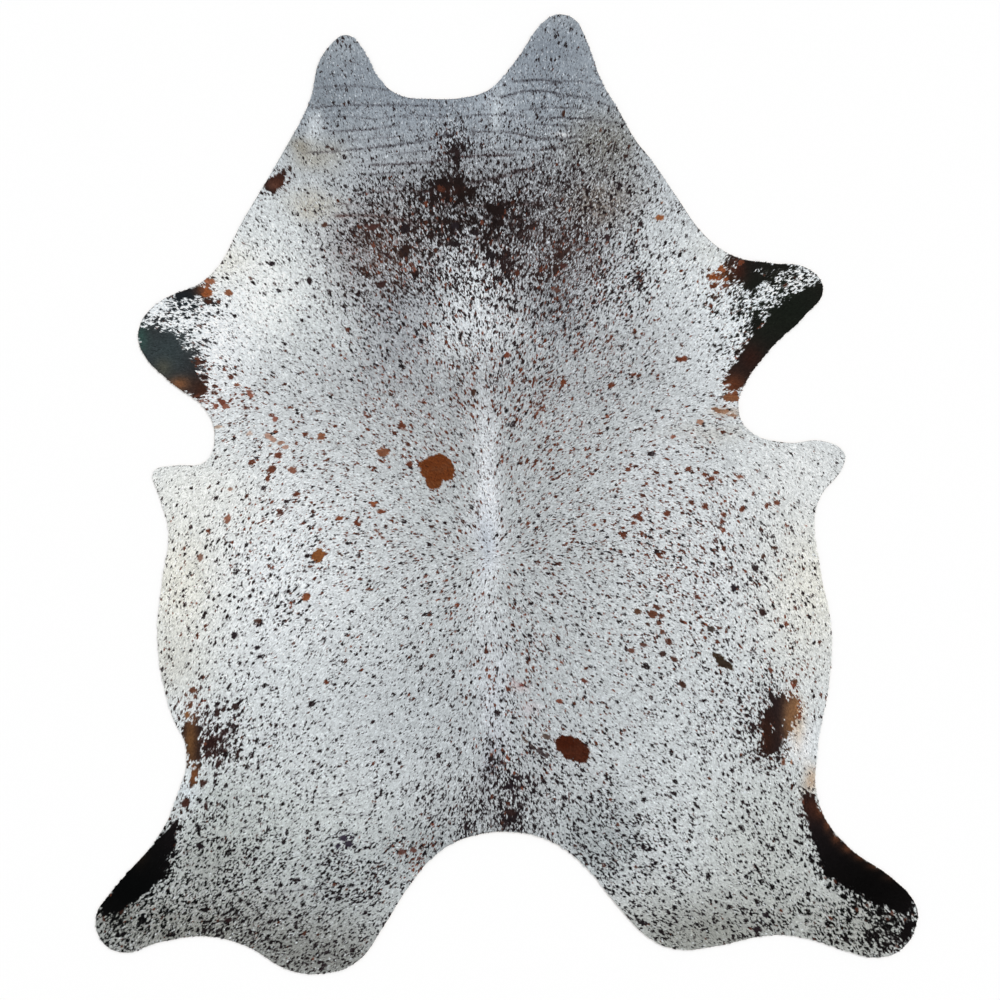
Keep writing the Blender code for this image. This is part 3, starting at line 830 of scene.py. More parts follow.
# %% Spots
RUST = (102, 53, 25)
OXBLOOD = (63, 26, 12)
BROWN = (96, 51, 36)
UMBER = (64, 42, 34)
SOOT = (32, 24, 28)
PINKISH = (168, 134, 118)
SPOTS = [
    # x  y  long  wide angle  colour
    (437, 468, 34, 26, 0, RUST), (434, 480, 18, 18, 0, RUST), (438, 460, 20, 12, 10, RUST),
    (425, 465, 13, 11, 0, RUST), (448, 475, 13, 11, 30, RUST), (573, 749, 37, 23, -32, OXBLOOD),
    (566, 742, 16, 12, 10, OXBLOOD), (383, 452, 13, 8, 10, (122, 76, 54)),
    (409, 464, 6, 5, 0, BROWN), (268, 436, 7, 4, -30, PINKISH), (274, 440, 9, 6, -40, PINKISH),
    (270, 446, 5, 3, 10, PINKISH), (280, 443, 7, 4, 10, (150, 112, 94)),
    (286, 447, 6, 3, 0, PINKISH), (249, 434, 6, 4, 20, (190, 168, 156)),
    (220, 427, 9, 3, 10, (176, 154, 138)), (296, 443, 4, 3, 0, BROWN), (312, 438, 4, 3, 0, BROWN),
    (279, 455, 9, 6, 10, BROWN), (305, 434, 6, 5, 0, BROWN), (321, 437, 9, 7, 0, (124, 78, 56)),
    (271, 470, 9, 7, 30, BROWN), (268, 478, 7, 4, 70, BROWN), (292, 470, 7, 6, 0, (122, 78, 62)),
    (296, 494, 7, 5, 0, BROWN), (231, 489, 6, 5, 0, PINKISH), (228, 519, 9, 6, 70, (138, 92, 74)),
    (208, 531, 4, 4, 0, BROWN), (201, 557, 8, 5, 70, (130, 98, 84)),
    (318, 556, 15, 12, 50, (122, 72, 36)), (313, 562, 7, 4, 20, SOOT),
    (306, 597, 9, 7, 40, (118, 66, 40)), (373, 504, 6, 4, 0, (130, 74, 48)),
    (381, 511, 8, 4, 0, (110, 60, 42)), (340, 518, 6, 4, 0, (122, 66, 42)),
    (357, 524, 6, 4, 0, BROWN), (379, 534, 9, 3, -45, BROWN), (339, 553, 7, 3, -40, UMBER),
    (258, 621, 6, 6, 0, UMBER), (234, 635, 7, 6, 40, SOOT), (257, 648, 5, 4, 0, SOOT),
    (260, 657, 5, 4, 0, SOOT), (193, 690, 8, 5, 0, (92, 58, 44)), (326, 682, 5, 4, 0, BROWN),
    (682, 359, 10, 5, 5, (100, 50, 32)), (612, 385, 8, 5, 20, BROWN),
    (563, 382, 6, 6, 0, (104, 54, 34)), (474, 392, 7, 4, 80, UMBER), (628, 470, 5, 5, 0, BROWN),
    (705, 475, 5, 4, 0, BROWN), (711, 479, 8, 5, 20, BROWN), (717, 473, 5, 4, 0, BROWN),
    (719, 480, 5, 4, 40, BROWN), (736, 481, 4, 3, 0, BROWN), (742, 509, 6, 5, 70, BROWN),
    (640, 519, 6, 5, 0, BROWN), (633, 523, 5, 4, 20, BROWN), (641, 513, 4, 4, 0, BROWN),
    (623, 535, 7, 4, -20, BROWN), (642, 534, 5, 4, 0, BROWN), (660, 556, 8, 4, -30, BROWN),
    (763, 557, 6, 5, 70, UMBER), (774, 548, 6, 4, 0, UMBER), (688, 469, 6, 5, 0, BROWN),
    (740, 477, 9, 4, 0, (122, 76, 60)), (767, 506, 8, 5, 70, BROWN),
    (777, 503, 5, 4, 0, (112, 66, 50)), (753, 493, 6, 4, 70, BROWN), (705, 507, 6, 5, 0, BROWN),
    (723, 515, 6, 5, 0, BROWN), (667, 513, 6, 5, 0, BROWN), (673, 437, 5, 4, 0, (140, 88, 70)),
    (700, 422, 6, 5, 0, (160, 120, 100)), (660, 218, 8, 6, 0, (140, 84, 50)),
    (662, 203, 5, 4, 60, (120, 72, 46)), (637, 611, 8, 6, -50, (84, 56, 42)),
    (653, 614, 10, 7, 0, (96, 58, 42)), (658, 608, 7, 4, -20, (90, 56, 44)),
    (662, 616, 7, 4, -20, (90, 56, 44)), (659, 623, 6, 5, -40, (90, 56, 44)),
    (662, 632, 7, 5, -50, (90, 56, 44)), (648, 624, 5, 3, 0, UMBER),
    (674, 659, 9, 6, -20, (72, 46, 38)), (663, 654, 6, 6, 0, (60, 42, 38)),
    (644, 645, 7, 4, -20, (90, 62, 54)), (631, 651, 6, 4, -10, (96, 64, 54)),
    (716, 656, 10, 6, -30, (52, 40, 30)), (724, 663, 20, 8, -35, (48, 36, 26)),
    (711, 629, 9, 6, -40, (62, 54, 50)), (734, 588, 7, 5, -50, SOOT),
    (755, 568, 9, 6, -50, (46, 36, 36)), (763, 613, 9, 7, -70, (48, 32, 30)),
    (682, 684, 8, 5, -50, UMBER), (795, 682, 6, 5, 80, (88, 56, 40)),
    (585, 681, 6, 3, 0, (96, 54, 44)), (559, 701, 6, 4, 0, (112, 62, 48)),
    (547, 737, 9, 5, -40, (90, 76, 70)), (546, 755, 6, 4, 0, (70, 60, 60)),
    (524, 739, 11, 3, -45, (84, 70, 62)), (533, 747, 12, 3, -45, (60, 48, 46)),
    (540, 752, 11, 4, -40, (66, 56, 56)), (510, 812, 7, 11, 80, (42, 28, 26)),
    (514, 681, 5, 2, -60, (92, 40, 38)), (521, 685, 4, 2, -50, (112, 62, 58)),
    (510, 786, 7, 8, 80, SOOT), (502, 762, 5, 4, 0, (52, 34, 34)), (272, 264, 7, 5, -5, SOOT),
    (278, 290, 6, 3, -50, SOOT), (229, 293, 8, 6, -30, (134, 82, 56)),
    (209, 281, 11, 5, -10, (146, 92, 66)), (207, 293, 11, 9, -30, (140, 78, 44)),
    (209, 302, 6, 5, 0, (62, 38, 30)), (219, 301, 5, 4, 0, (96, 56, 44)), (219, 312, 4, 3, 0, SOOT),
    (204, 377, 8, 5, 0, (44, 28, 24)), (231, 377, 5, 5, 0, (88, 52, 42)),
    (237, 385, 6, 4, 0, (120, 76, 58)), (250, 394, 8, 4, -60, (130, 80, 64)),
    (222, 402, 7, 4, 0, (110, 60, 46)), (216, 406, 6, 5, 0, (122, 70, 54)),
    (226, 407, 7, 4, 20, (130, 84, 68)), (275, 419, 6, 6, 0, (134, 84, 70)),
    (713, 277, 10, 7, 0, (124, 64, 32)), (722, 269, 10, 6, -10, (138, 78, 46)),
    (714, 286, 10, 6, 20, (90, 48, 30)), (726, 279, 6, 5, 50, (128, 72, 44)),
    (726, 285, 6, 4, 0, (96, 54, 36)), (741, 263, 9, 5, 20, (110, 60, 40)),
    (698, 281, 6, 4, 80, (112, 66, 46)), (716, 298, 6, 5, 0, UMBER),
    (738, 384, 6, 4, 0, (110, 66, 46)), (732, 398, 14, 7, -5, (122, 76, 50)),
    (734, 393, 7, 4, 0, (116, 68, 46)), (717, 410, 8, 4, -20, (140, 100, 76)),
    (725, 412, 7, 4, 10, (156, 120, 96)), (732, 415, 9, 3, -10, (150, 116, 94)),
    (236, 707, 7, 7, 40, (46, 32, 30)), (218, 713, 8, 5, 70, (50, 34, 32)),
    (223, 711, 7, 4, 50, (50, 34, 32)), (187, 715, 7, 6, 30, (122, 82, 52)),
    (204, 783, 8, 6, 0, (58, 36, 32)), (186, 803, 10, 8, 20, (62, 36, 30)),
    (206, 805, 10, 4, 80, (50, 32, 30)), (343, 838, 7, 5, 20, (52, 46, 58)),
    (349, 844, 8, 6, 0, (48, 42, 52)), (338, 846, 6, 4, 30, (52, 46, 58)),
    (352, 837, 4, 3, 0, (52, 46, 58)), (219, 763, 8, 4, 70, (50, 32, 30)),
    (238, 755, 9, 4, 80, (52, 36, 34)), (792, 787, 11, 4, 80, (56, 26, 18)),
    (783, 762, 8, 4, 80, (96, 56, 38)), (791, 763, 6, 3, 80, (160, 112, 84)),
    (405, 228, 9, 11, 60, (34, 26, 28)), (404, 253, 9, 9, 70, (36, 26, 26)),
    (387, 256, 16, 4, -35, (50, 34, 34)), (490, 255, 10, 7, 0, (34, 28, 30)),
    (455, 226, 8, 6, 0, (34, 28, 32)), (475, 233, 10, 5, 0, (36, 28, 30)),
    (455, 244, 13, 6, 0, (36, 28, 30)), (382, 284, 8, 7, 0, (56, 36, 34)),
    (372, 227, 14, 5, 5, (70, 44, 40)), (607, 237, 6, 6, 0, (48, 34, 36)),
    (575, 157, 5, 4, 0, (46, 34, 36)), (564, 266, 6, 7, 70, (70, 44, 40)),
    (557, 290, 5, 7, 80, (84, 56, 48)), (333, 149, 4, 3, 0, (60, 44, 40)),
    (327, 147, 3, 3, 0, (60, 44, 40)), (283, 171, 4, 4, 0, (50, 36, 32)),
    (290, 169, 4, 4, 0, (50, 36, 32)), (288, 183, 3, 4, 80, (50, 34, 30)),
    (285, 190, 3, 4, 80, (50, 34, 30)), (325, 225, 6, 5, 30, (80, 52, 42)),
    (626, 156, 5, 4, 0, (52, 38, 34)), (413, 850, 8, 5, 10, (92, 62, 56)),
    (402, 851, 6, 5, 0, (88, 60, 54)), (420, 858, 6, 4, 10, (86, 58, 54)),
    (228, 920, 8, 5, 10, (36, 22, 24)), (200, 846, 5, 8, 70, (30, 24, 26)),
    (766, 914, 5, 5, 60, SOOT), (757, 929, 9, 6, 0, SOOT),
]
SPOT_WANDER = (0.9, 0.7)
SPOT_EDGE = 0.6


def spot_cover(x, y, row):
    """1 inside an oval spot and 0 outside, along a wandering edge."""
    at_x, at_y, long, wide, angle = row[:5]
    turn = math.radians(-angle)
    along = (x - at_x) * math.cos(turn) + (y - at_y) * math.sin(turn)
    across = (y - at_y) * math.cos(turn) - (x - at_x) * math.sin(turn)
    ring = np.hypot(along / (long / 2.0), across / (wide / 2.0))
    depth = (1.0 - ring) * min(long, wide) / 2.0
    slow, quick = smooth_noise(x, y, 4.6, 2), smooth_noise(x, y, 2.1, 3)
    edge = SPOT_WANDER[0] * slow + SPOT_WANDER[1] * quick
    return np.clip((depth + edge) / SPOT_EDGE + 0.5, 0.0, 1.0)


print("spots:", len(SPOTS))

# %% [markdown]
# ## Wrinkles of the neck
#
# Between the soft troughs of the solid, the neck has finer wrinkles, where the skin folded as the
# animal lowered its head. In a coat they show as thin dark lines where the hair parts, painted as
# shade of the fold.
# Each row gives the line's two ends and its middle, how dark it is, and whether it is brownish.

# %% Wrinkles
WRINKLES = [
    # x0  y0  x1  y1  x2  y2  dark  half  brown
    (317, 88, 350, 86, 386, 90, 0.50, 0.9, 0.0), (316, 107, 372, 105, 428, 106, 0.70, 1.0, 0.0),
    (318, 118, 350, 117, 372, 119, 0.40, 0.8, 0.0), (385, 118, 410, 116, 440, 117, 0.45, 0.8, 0.0),
    (333, 131, 366, 130, 394, 126, 0.60, 0.9, 0.1), (348, 141, 372, 139, 398, 137, 0.45, 0.8, 0.1),
    (372, 175, 400, 173, 432, 172, 0.50, 0.9, 0.1), (345, 204, 370, 205, 392, 206, 0.55, 0.9, 0.4),
    (431, 203, 480, 206, 536, 203, 0.70, 1.1, 0.7), (455, 236, 500, 238, 545, 232, 0.40, 0.9, 0.5),
    (461, 116, 490, 115, 522, 117, 0.60, 0.9, 0.0), (552, 84, 576, 82, 598, 85, 0.55, 0.9, 0.0),
    (565, 96, 590, 99, 612, 108, 0.55, 0.9, 0.0), (527, 110, 548, 108, 575, 109, 0.50, 0.9, 0.0),
    (520, 124, 545, 125, 570, 126, 0.45, 0.8, 0.0), (590, 120, 606, 121, 622, 124, 0.40, 0.8, 0.0),
    (500, 150, 530, 150, 560, 148, 0.45, 0.9, 0.1), (575, 150, 600, 148, 628, 150, 0.35, 0.9, 0.3),
    (307, 153, 345, 151, 382, 147, 0.80, 1.0, 0.1), (382, 147, 412, 142, 451, 134, 0.85, 1.0, 0.0),
    (398, 155, 420, 151, 446, 147, 0.50, 0.9, 0.0), (374, 165, 408, 164, 440, 160, 0.95, 1.1, 0.2),
    (440, 160, 470, 156, 508, 156, 0.95, 1.1, 0.3), (360, 194, 386, 191, 424, 193, 0.80, 1.0, 0.3),
    (424, 193, 432, 191, 442, 188, 0.90, 1.6, 0.3), (380, 187, 408, 186, 440, 187, 0.55, 0.9, 0.0),
    (388, 201, 416, 200, 444, 204, 0.45, 0.9, 0.1), (340, 216, 368, 216, 395, 219, 0.80, 1.7, 0.8),
    (395, 219, 425, 222, 462, 221, 0.90, 1.4, 0.6), (518, 82, 536, 80, 556, 82, 0.90, 1.1, 0.0),
    (505, 97, 533, 91, 566, 96, 0.95, 1.1, 0.0), (545, 118, 566, 118, 590, 118, 0.75, 1.0, 0.0),
    (478, 132, 500, 132, 526, 136, 0.80, 1.0, 0.1), (526, 136, 548, 139, 578, 136, 0.65, 1.0, 0.1),
    (474, 182, 500, 178, 520, 171, 0.98, 1.8, 0.3), (520, 171, 534, 166, 548, 159, 0.95, 1.3, 0.2),
    (500, 205, 530, 202, 562, 201, 0.55, 1.0, 0.2), (520, 224, 560, 218, 602, 210, 0.35, 1.0, 0.2),
    (600, 218, 622, 210, 648, 202, 0.30, 0.8, 0.2), (580, 273, 600, 270, 622, 261, 0.40, 0.9, 0.3),
    (312, 798, 346, 794, 382, 783, 0.45, 0.7, 0.0), (345, 814, 351, 814, 358, 814, 0.60, 0.7, 0.0),
    (270, 892, 290, 891, 310, 888, 0.50, 0.8, 0.0), (620, 845, 636, 851, 652, 879, 0.25, 0.8, 0.0),
]
WRINKLE_END_FADE = 5.0
# Tones of the painted shade in the wrinkles, dark or brownish.
WRINKLE_SHADE_TONES = ((38, 33, 38), (78, 46, 38))
print("wrinkles:", len(WRINKLES))

# %% [markdown]
# ## Painting the coat
#
# The pattern is painted in the order in which it shows: ground, ticking, wrinkles, flecks from fine
# to coarse, single spots, then the solid patches. It is worked out at every lock of hair, so an edge
# is as fine as the hair itself. Each layer is a function of its own.

# %% Ticking: single hairs of the other colour
WHITE_HAIR = (214, 220, 226)
WHITE_SHARE = 0.7
TICK_STRENGTH = (0.20, 0.85)


def add_ticking(colour, pigment, x, y):
    """Single dark hairs among the light, and some white ones where those are thick."""
    ticking = soft_share(x, y, TICKING, TICKED)
    draw = random.random(len(x))
    strength = random.uniform(*TICK_STRENGTH, len(x))
    colour += (pigment - colour) * np.where(draw < ticking, strength, 0.0)[:, None]
    white = draw > 1.0 - WHITE_SHARE * ticking
    return lay_over(colour, WHITE_HAIR, np.where(white, strength, 0.0))


print("white hairs to each dark one:", WHITE_SHARE)

# %% Wrinkles: a broken dark parting, with painted shade of the fold
PARTING_SHADE = (0.30, 1.25)
WRINKLE_WANDER = 0.7
WRINKLE_BREAK = 0.7


def add_wrinkle_shade(colour, x, y):
    """Thin dark lines across the neck, painted shade of the folds where the hair parts, stronger at one
    lock than at the next.
    """
    parting_shade = random.uniform(*PARTING_SHADE, len(x))
    for row in WRINKLES:
        wander = y + WRINKLE_WANDER * smooth_noise(x, y, 13.0, 1)
        line = along_crease(x, wander, row, row[7], WRINKLE_END_FADE)
        broken = np.clip(1.0 + WRINKLE_BREAK * smooth_noise(x, y, 5.0, 0), 0.0, 1.2)
        tone = [dark + (brown - dark) * row[8] for dark, brown in zip(*WRINKLE_SHADE_TONES)]
        colour = lay_over(colour, tone, np.clip(row[6] * line * broken * parting_shade, 0.0, 0.95))
    return colour


print("a wrinkle's strength varies from", PARTING_SHADE[0], "to", PARTING_SHADE[1])

# %% Flecks: their sizes and how they vary
FLECK_SIZES = [
    # pitch  radius  stretch  part of the cover, on a fine coat and on a coarse one
    (2.4, 0.60, 1.5, 0.42, 0.20),
    (4.0, 0.88, 1.6, 0.43, 0.34),
    (7.0, 1.25, 1.5, 0.13, 0.36),
    (15.0, 1.90, 1.4, 0.02, 0.14),
]
FLECK_CLUMPING = 0.55
FLECK_FULL = 0.93
FLECK_RIM = (0.93, 0.14)
FLECK_RAGGED = 0.25
FLECK_COVER = 0.97
FLECK_TONE = (0.80, 0.45)
RUST_DEPTH = (0.55, 1.08)
RUSTY_BASE = 0.05
CROSSED = (0.06, 0.50)


def fleck_share(x, y, fringe):
    """How much of the coat the flecks cover at each place."""
    share = soft_share(x, y, SPECKLES, SPECKLED) * (1.0 - soft_share(x, y, CLEAN, 0.0))
    share = 1.0 - (1.0 - share) * (1.0 - fringe)
    share *= np.exp(FLECK_CLUMPING * smooth_noise(x, y, 13.0, 2))
    return np.clip(share, 0.0, FLECK_FULL)


def another(pick, times):
    """Another random number from 0 to 1 for each fleck, made from its first."""
    return (pick * times) % 1.0


print("fleck sizes:", len(FLECK_SIZES))

# %% Flecks: lay them over the coat
def add_flecks(colour, pigment, x, y, way_x, way_y, fringe):
    """Flecks from fine to coarse. Some are rusty, and a few locks lie across and break them."""
    share = fleck_share(x, y, fringe)
    rusty = soft_share(x, y, RUSTY, RUSTY_BASE)
    crossed = 1.0 - CROSSED[1] * (random.random(len(x)) < CROSSED[0])
    coarse = soft_share(x, y, COARSE, 0.0)
    for order, (pitch, radius, stretch, fine_part, coarse_part) in enumerate(FLECK_SIZES):
        part = 1.0 - (1.0 - share) ** (fine_part + (coarse_part - fine_part) * coarse)
        strength, pick = fleck_field(x, y, way_x, way_y, pitch, radius, stretch, part, 17 * order + 1)
        strength = strength * (1.0 + FLECK_RAGGED * smooth_noise(x, y, 1.4, 4))
        cover = np.clip((strength - FLECK_RIM[0]) / FLECK_RIM[1], 0.0, 1.0) * FLECK_COVER * crossed
        depth = RUST_DEPTH[0] + (RUST_DEPTH[1] - RUST_DEPTH[0]) * another(pick, 13.0)
        tone = lay_over(pigment, RUST_FLECK, np.where(pick < rusty, depth, 0.0))
        tone = tone * (FLECK_TONE[0] + FLECK_TONE[1] * another(pick, 7.0))[:, None]
        colour += (tone - colour) * cover[:, None]
    return colour


print("rusty flecks cover from", RUST_DEPTH[0], "to", RUST_DEPTH[1])

# %% All the layers together
SPOT_COVER = 0.95


def ground_with_patches(x, y):
    """The coat's colour with its spots and patches but without flecks, for the leather below."""
    way_x, way_y = hair_direction(x, y)
    x, y = to_pixels(x, y)
    cover, _ = patch_cover(x, y, way_x, -way_y)
    colour = ground_colour(x, y)
    for row in SPOTS:
        colour = lay_over(colour, row[5], spot_cover(x, y, row))
    return colour + (pigment_colour(x, y) - colour) * cover[:, None]


def coat_colour(x, y):
    """The finished coat's colour at each point, as seen, 0 to 255."""
    way_x, way_y = hair_direction(x, y)
    way_y = -way_y
    x, y = to_pixels(x, y)
    pigment = pigment_colour(x, y)
    patch, fringe = patch_cover(x, y, way_x, way_y)
    colour = add_ticking(ground_colour(x, y), pigment, x, y)
    colour = add_wrinkle_shade(colour, x, y)
    colour = add_flecks(colour, pigment, x, y, way_x, way_y, fringe)
    for row in SPOTS:
        colour = lay_over(colour, row[5], SPOT_COVER * spot_cover(x, y, row))
    return colour + (pigment - colour) * patch[:, None]


def as_light(colour):
    """Seen colours, 0 to 255, as the linear values that a shader takes."""
    value = np.clip(colour / 255.0, 0.0, 1.0)
    return np.where(value <= 0.04045, value / 12.92, ((value + 0.055) / 1.055) ** 2.4)


print("plain ground as light:", as_light(np.array(GROUND, float)).round(3))

# %% [markdown]
# ## One lock of hair
#
# A full coat has millions of hairs. What the eye sees from standing height is locks: a few dozen
# hairs that lie together and end in one tip. One lock is modelled in edit mode: a four-cornered
# disc, split across, drawn out to length, with its root at the origin and its widest place a little
# past the middle. It is then copied as arrays of numbers.

# %% Model the lock
CORNERS = 4
DISC_RADIUS = 0.5
LOCK_LENGTH = 9.0
LOCK_WIDTH = 3.2
WIDEST_AT = 0.56
bpy.ops.object.select_all(action="DESELECT")
bpy.ops.mesh.primitive_circle_add(vertices=CORNERS, radius=DISC_RADIUS, fill_type="NGON")
lock = bpy.context.object
lock.name = "one_lock"
bpy.ops.object.mode_set(mode="EDIT")
bpy.ops.mesh.select_all(action="SELECT")
bpy.ops.mesh.quads_convert_to_tris(quad_method="FIXED_ALTERNATE")
bpy.ops.transform.translate(value=(0.0, DISC_RADIUS, 0.0))
bpy.ops.transform.resize(value=(LOCK_WIDTH, LOCK_LENGTH, 1.0), center_override=(0.0, 0.0, 0.0))
bpy.ops.object.mode_set(mode="OBJECT")
for point in lock.data.vertices:
    point.select = abs(point.co.x) > 0.1 * LOCK_WIDTH
bpy.ops.object.mode_set(mode="EDIT")
bpy.ops.transform.translate(value=(0.0, (WIDEST_AT - 0.5) * LOCK_LENGTH, 0.0))
bpy.ops.object.mode_set(mode="OBJECT")

along_lock = np.array([point.co.y / LOCK_LENGTH for point in lock.data.vertices])
across_lock = np.array([2.0 * point.co.x / LOCK_WIDTH for point in lock.data.vertices])
lock_faces = np.array([face.vertices[:] for face in lock.data.polygons])
FACES = len(lock_faces)
bpy.data.objects.remove(lock, do_unlink=True)
print("lock corners along:", along_lock.round(2), "across:", across_lock.round(2))
print("lock faces:", lock_faces.tolist())

# %% [markdown]
# ## Sow the coat
#
# The locks are laid out by their tips, because the tips are what shows: the root of each lock is
# hidden under the tips behind it. The tips sit on a shaken grid. A root that would fall off the
# hide is pulled back to the rim, and a lock that would reach too far past the rim is left out,
# which gives the edge its soft, slightly uneven fringe.

# %% Lay out tips and roots
LOCK_PITCH = 2.36
SHAKE = 0.45
OVERHANG = 2.4
ROOT_INSET = 0.6
EDGE_BAND = 8.0
STRAY = 0.17
STRAY_IN_TUFTS = 0.25
LENGTH_SPREAD = (0.75, 1.25)
OVERHANG_SPREAD = (0.2, 1.0)
PULL_LIMIT = 0.85
columns = np.arange(rim[..., 0].min() - EDGE_BAND, rim[..., 0].max() + EDGE_BAND, LOCK_PITCH)
rows = np.arange(rim[..., 1].min() - EDGE_BAND, rim[..., 1].max() + EDGE_BAND, LOCK_PITCH)
site_x, site_y = (grid.ravel() for grid in np.meshgrid(columns, rows, indexing="ij"))
keep = rim_distance(site_x, site_y) > -EDGE_BAND
site_x, site_y = site_x[keep], site_y[keep]
tip_x = site_x + LOCK_PITCH * random.uniform(-SHAKE, SHAKE, len(site_x))
tip_y = site_y + LOCK_PITCH * random.uniform(-SHAKE, SHAKE, len(site_y))

way_x, way_y = hair_direction(tip_x, tip_y)
stray = random.normal(0.0, STRAY, len(tip_x)) + STRAY_IN_TUFTS * smooth_noise(tip_x, tip_y, 24.0, 3)
way_x, way_y = (
    way_x * np.cos(stray) - way_y * np.sin(stray),
    way_x * np.sin(stray) + way_y * np.cos(stray),
)
length = LOCK_LENGTH * random.uniform(*LENGTH_SPREAD, len(tip_x))
root_x, root_y = tip_x - way_x * length, tip_y - way_y * length

tip_rim = rim_distance(tip_x, tip_y)
root_rim = rim_distance(root_x, root_y) - ROOT_INSET
pull = np.where(root_rim < 0.0, -root_rim / np.maximum(tip_rim - root_rim, 1e-3), 0.0)
pull = np.clip(pull, 0.0, PULL_LIMIT)
root_x, root_y = root_x + pull * way_x * length, root_y + pull * way_y * length
overhang = OVERHANG * random.uniform(*OVERHANG_SPREAD, len(tip_x))
grown = (tip_rim > -overhang) & (rim_distance(root_x, root_y) > 0.0)
site_x, site_y, tip_x, tip_y, root_x, root_y, way_x, way_y = (
    values[grown] for values in (site_x, site_y, tip_x, tip_y, root_x, root_y, way_x, way_y)
)
lock_count = len(tip_x)
print("locks on the hide:", lock_count)

# %% Colour each lock where it shows
SEEN_AT = 0.75
seen_x = root_x + SEEN_AT * (tip_x - root_x)
seen_y = root_y + SEEN_AT * (tip_y - root_y)
seen_colour = coat_colour(seen_x, seen_y)
print("mean coat colour:", seen_colour.mean(axis=0).round())

# %% [markdown]
# ## Shape and tone of each lock
#
# Each lock rises from the leather at its root and lies at the top of the coat at its tip. It is
# rolled a little to one side or the other, so that neighbours catch the light differently. Its tone
# varies too: locks of one hide are never quite alike, and a lock is painted darker towards its root,
# as shade of the locks over it.

# %% Build the corners
TIP_RISE = (0.90, 1.32)
SIDE_RISE = (0.72, 0.98)
ROOT_RISE = 0.05
WIDTH_SPREAD = (0.75, 1.25)
ROLL = 0.22
LOWEST = 0.4
NEAR_ROOT = 0.1
NEAR_TIP = 0.9
half_width = 0.5 * LOCK_WIDTH * random.uniform(*WIDTH_SPREAD, lock_count)
tip_rise = random.uniform(*TIP_RISE, lock_count)
side_rise = tip_rise * random.uniform(*SIDE_RISE, lock_count)
roll = ROLL * random.normal(0.0, 1.0, lock_count).clip(-2.0, 2.0)

corner = np.empty((lock_count, CORNERS, 3))
for k in range(CORNERS):
    x = root_x + along_lock[k] * (tip_x - root_x) + across_lock[k] * half_width * way_y
    y = root_y + along_lock[k] * (tip_y - root_y) - across_lock[k] * half_width * way_x
    if along_lock[k] < NEAR_ROOT:
        rise = ROOT_RISE
    elif along_lock[k] > NEAR_TIP:
        rise = tip_rise
    else:
        rise = side_rise + across_lock[k] * roll
    corner[:, k] = np.stack([x, y, np.maximum(leather_height(x, y) + rise, LOWEST)], axis=1)
print("coat top:", corner[..., 2].max().round(2), "mm")

# %% Turn the faces up
first, second, third = (corner[:, k] for k in lock_faces[0])
facing_up = np.cross(second - first, third - first)[:, 2] > 0.0
if facing_up.mean() < 0.5:
    lock_faces = lock_faces[:, ::-1]
print("locks facing up:", max(facing_up.mean(), 1.0 - facing_up.mean()).round(3))

# %% Tone of each corner
COAT_GAIN = 1.045
GRAIN = 0.075
TUFT_GRAIN = 0.035
# Painted shade: each lock is darker towards its root, where the locks over it shade it.
ROOT_PAINTED_SHADE = 0.72
SIDE_PAINTED_SHADE = 0.95
grain = 1.0 + GRAIN * random.normal(0.0, 1.0, lock_count).clip(-2.5, 2.5)
grain *= 1.0 + TUFT_GRAIN * smooth_noise(seen_x, seen_y, 9.0, 4)
light = as_light(seen_colour) * COAT_GAIN * (grain ** 2)[:, None]
painted_shade_along = np.interp(along_lock, [0.0, WIDEST_AT, 1.0], [ROOT_PAINTED_SHADE, SIDE_PAINTED_SHADE, 1.0])
tone = np.ones((lock_count, CORNERS, 4))
tone[..., :3] = np.clip(light[:, None, :] * painted_shade_along[None, :, None], 0.0, 0.95)
print("brightest lock:", tone[..., :3].max().round(2))

# %% [markdown]
# ## Join the locks into a few meshes
#
# The coat is one field of hair, but a mesh of a million faces is hard to handle. It is cut across
# the back into bands of about equal numbers of locks. Each band's map lays every lock's face on its
# own small square of the hide, seen from above, so a baked picture of it can't smear.

# %% Make one band of coat
BANDS = ("coat_neck", "coat_shoulders", "coat_back", "coat_ribs", "coat_rump")
FOOTPRINT = 0.46


def band_mesh(name, chosen):
    """A mesh of the chosen locks, with their tones and their map."""
    count = len(chosen)
    mesh = bpy.data.meshes.new(name)
    mesh.vertices.add(count * CORNERS)
    mesh.vertices.foreach_set("co", (corner[chosen] * MM).ravel())
    mesh.loops.add(count * FACES * 3)
    mesh.polygons.add(count * FACES)
    faces = (np.arange(count)[:, None, None] * CORNERS + lock_faces[None]).reshape(-1)
    mesh.loops.foreach_set("vertex_index", faces)
    mesh.polygons.foreach_set("loop_start", np.arange(count * FACES) * 3)
    mesh.polygons.foreach_set("loop_total", np.full(count * FACES, 3))
    mesh.update(calc_edges=True)

    colours = mesh.color_attributes.new("coat_tone", "FLOAT_COLOR", "POINT")
    colours.data.foreach_set("color", tone[chosen].ravel())

    spread = LOCK_PITCH * FOOTPRINT
    ahead = 2.0 * along_lock - 1.0
    in_square = np.stack([ahead + across_lock, ahead - across_lock], 1)
    in_square = np.clip(in_square, -1.0, 1.0) * spread
    flat = np.stack([site_x[chosen], site_y[chosen]], axis=1)[:, None, :] + in_square[None]
    low = flat.reshape(-1, 2).min(axis=0)
    size = (flat.reshape(-1, 2).max(axis=0) - low).max()
    layer = mesh.uv_layers.new(name="OFBake")
    layer.data.foreach_set("uv", ((flat - low) / size).reshape(-1, 2)[faces].ravel())
    return mesh


order = np.argsort(-site_y, kind="stable")
coat_bands = []
for name, chosen in zip(BANDS, np.array_split(order, len(BANDS))):
    band = bpy.data.objects.new(name, band_mesh(name, chosen))
    bpy.context.scene.collection.objects.link(band)
    coat_bands.append(band)
    print(name, len(chosen), "locks,", len(band.data.polygons), "faces")

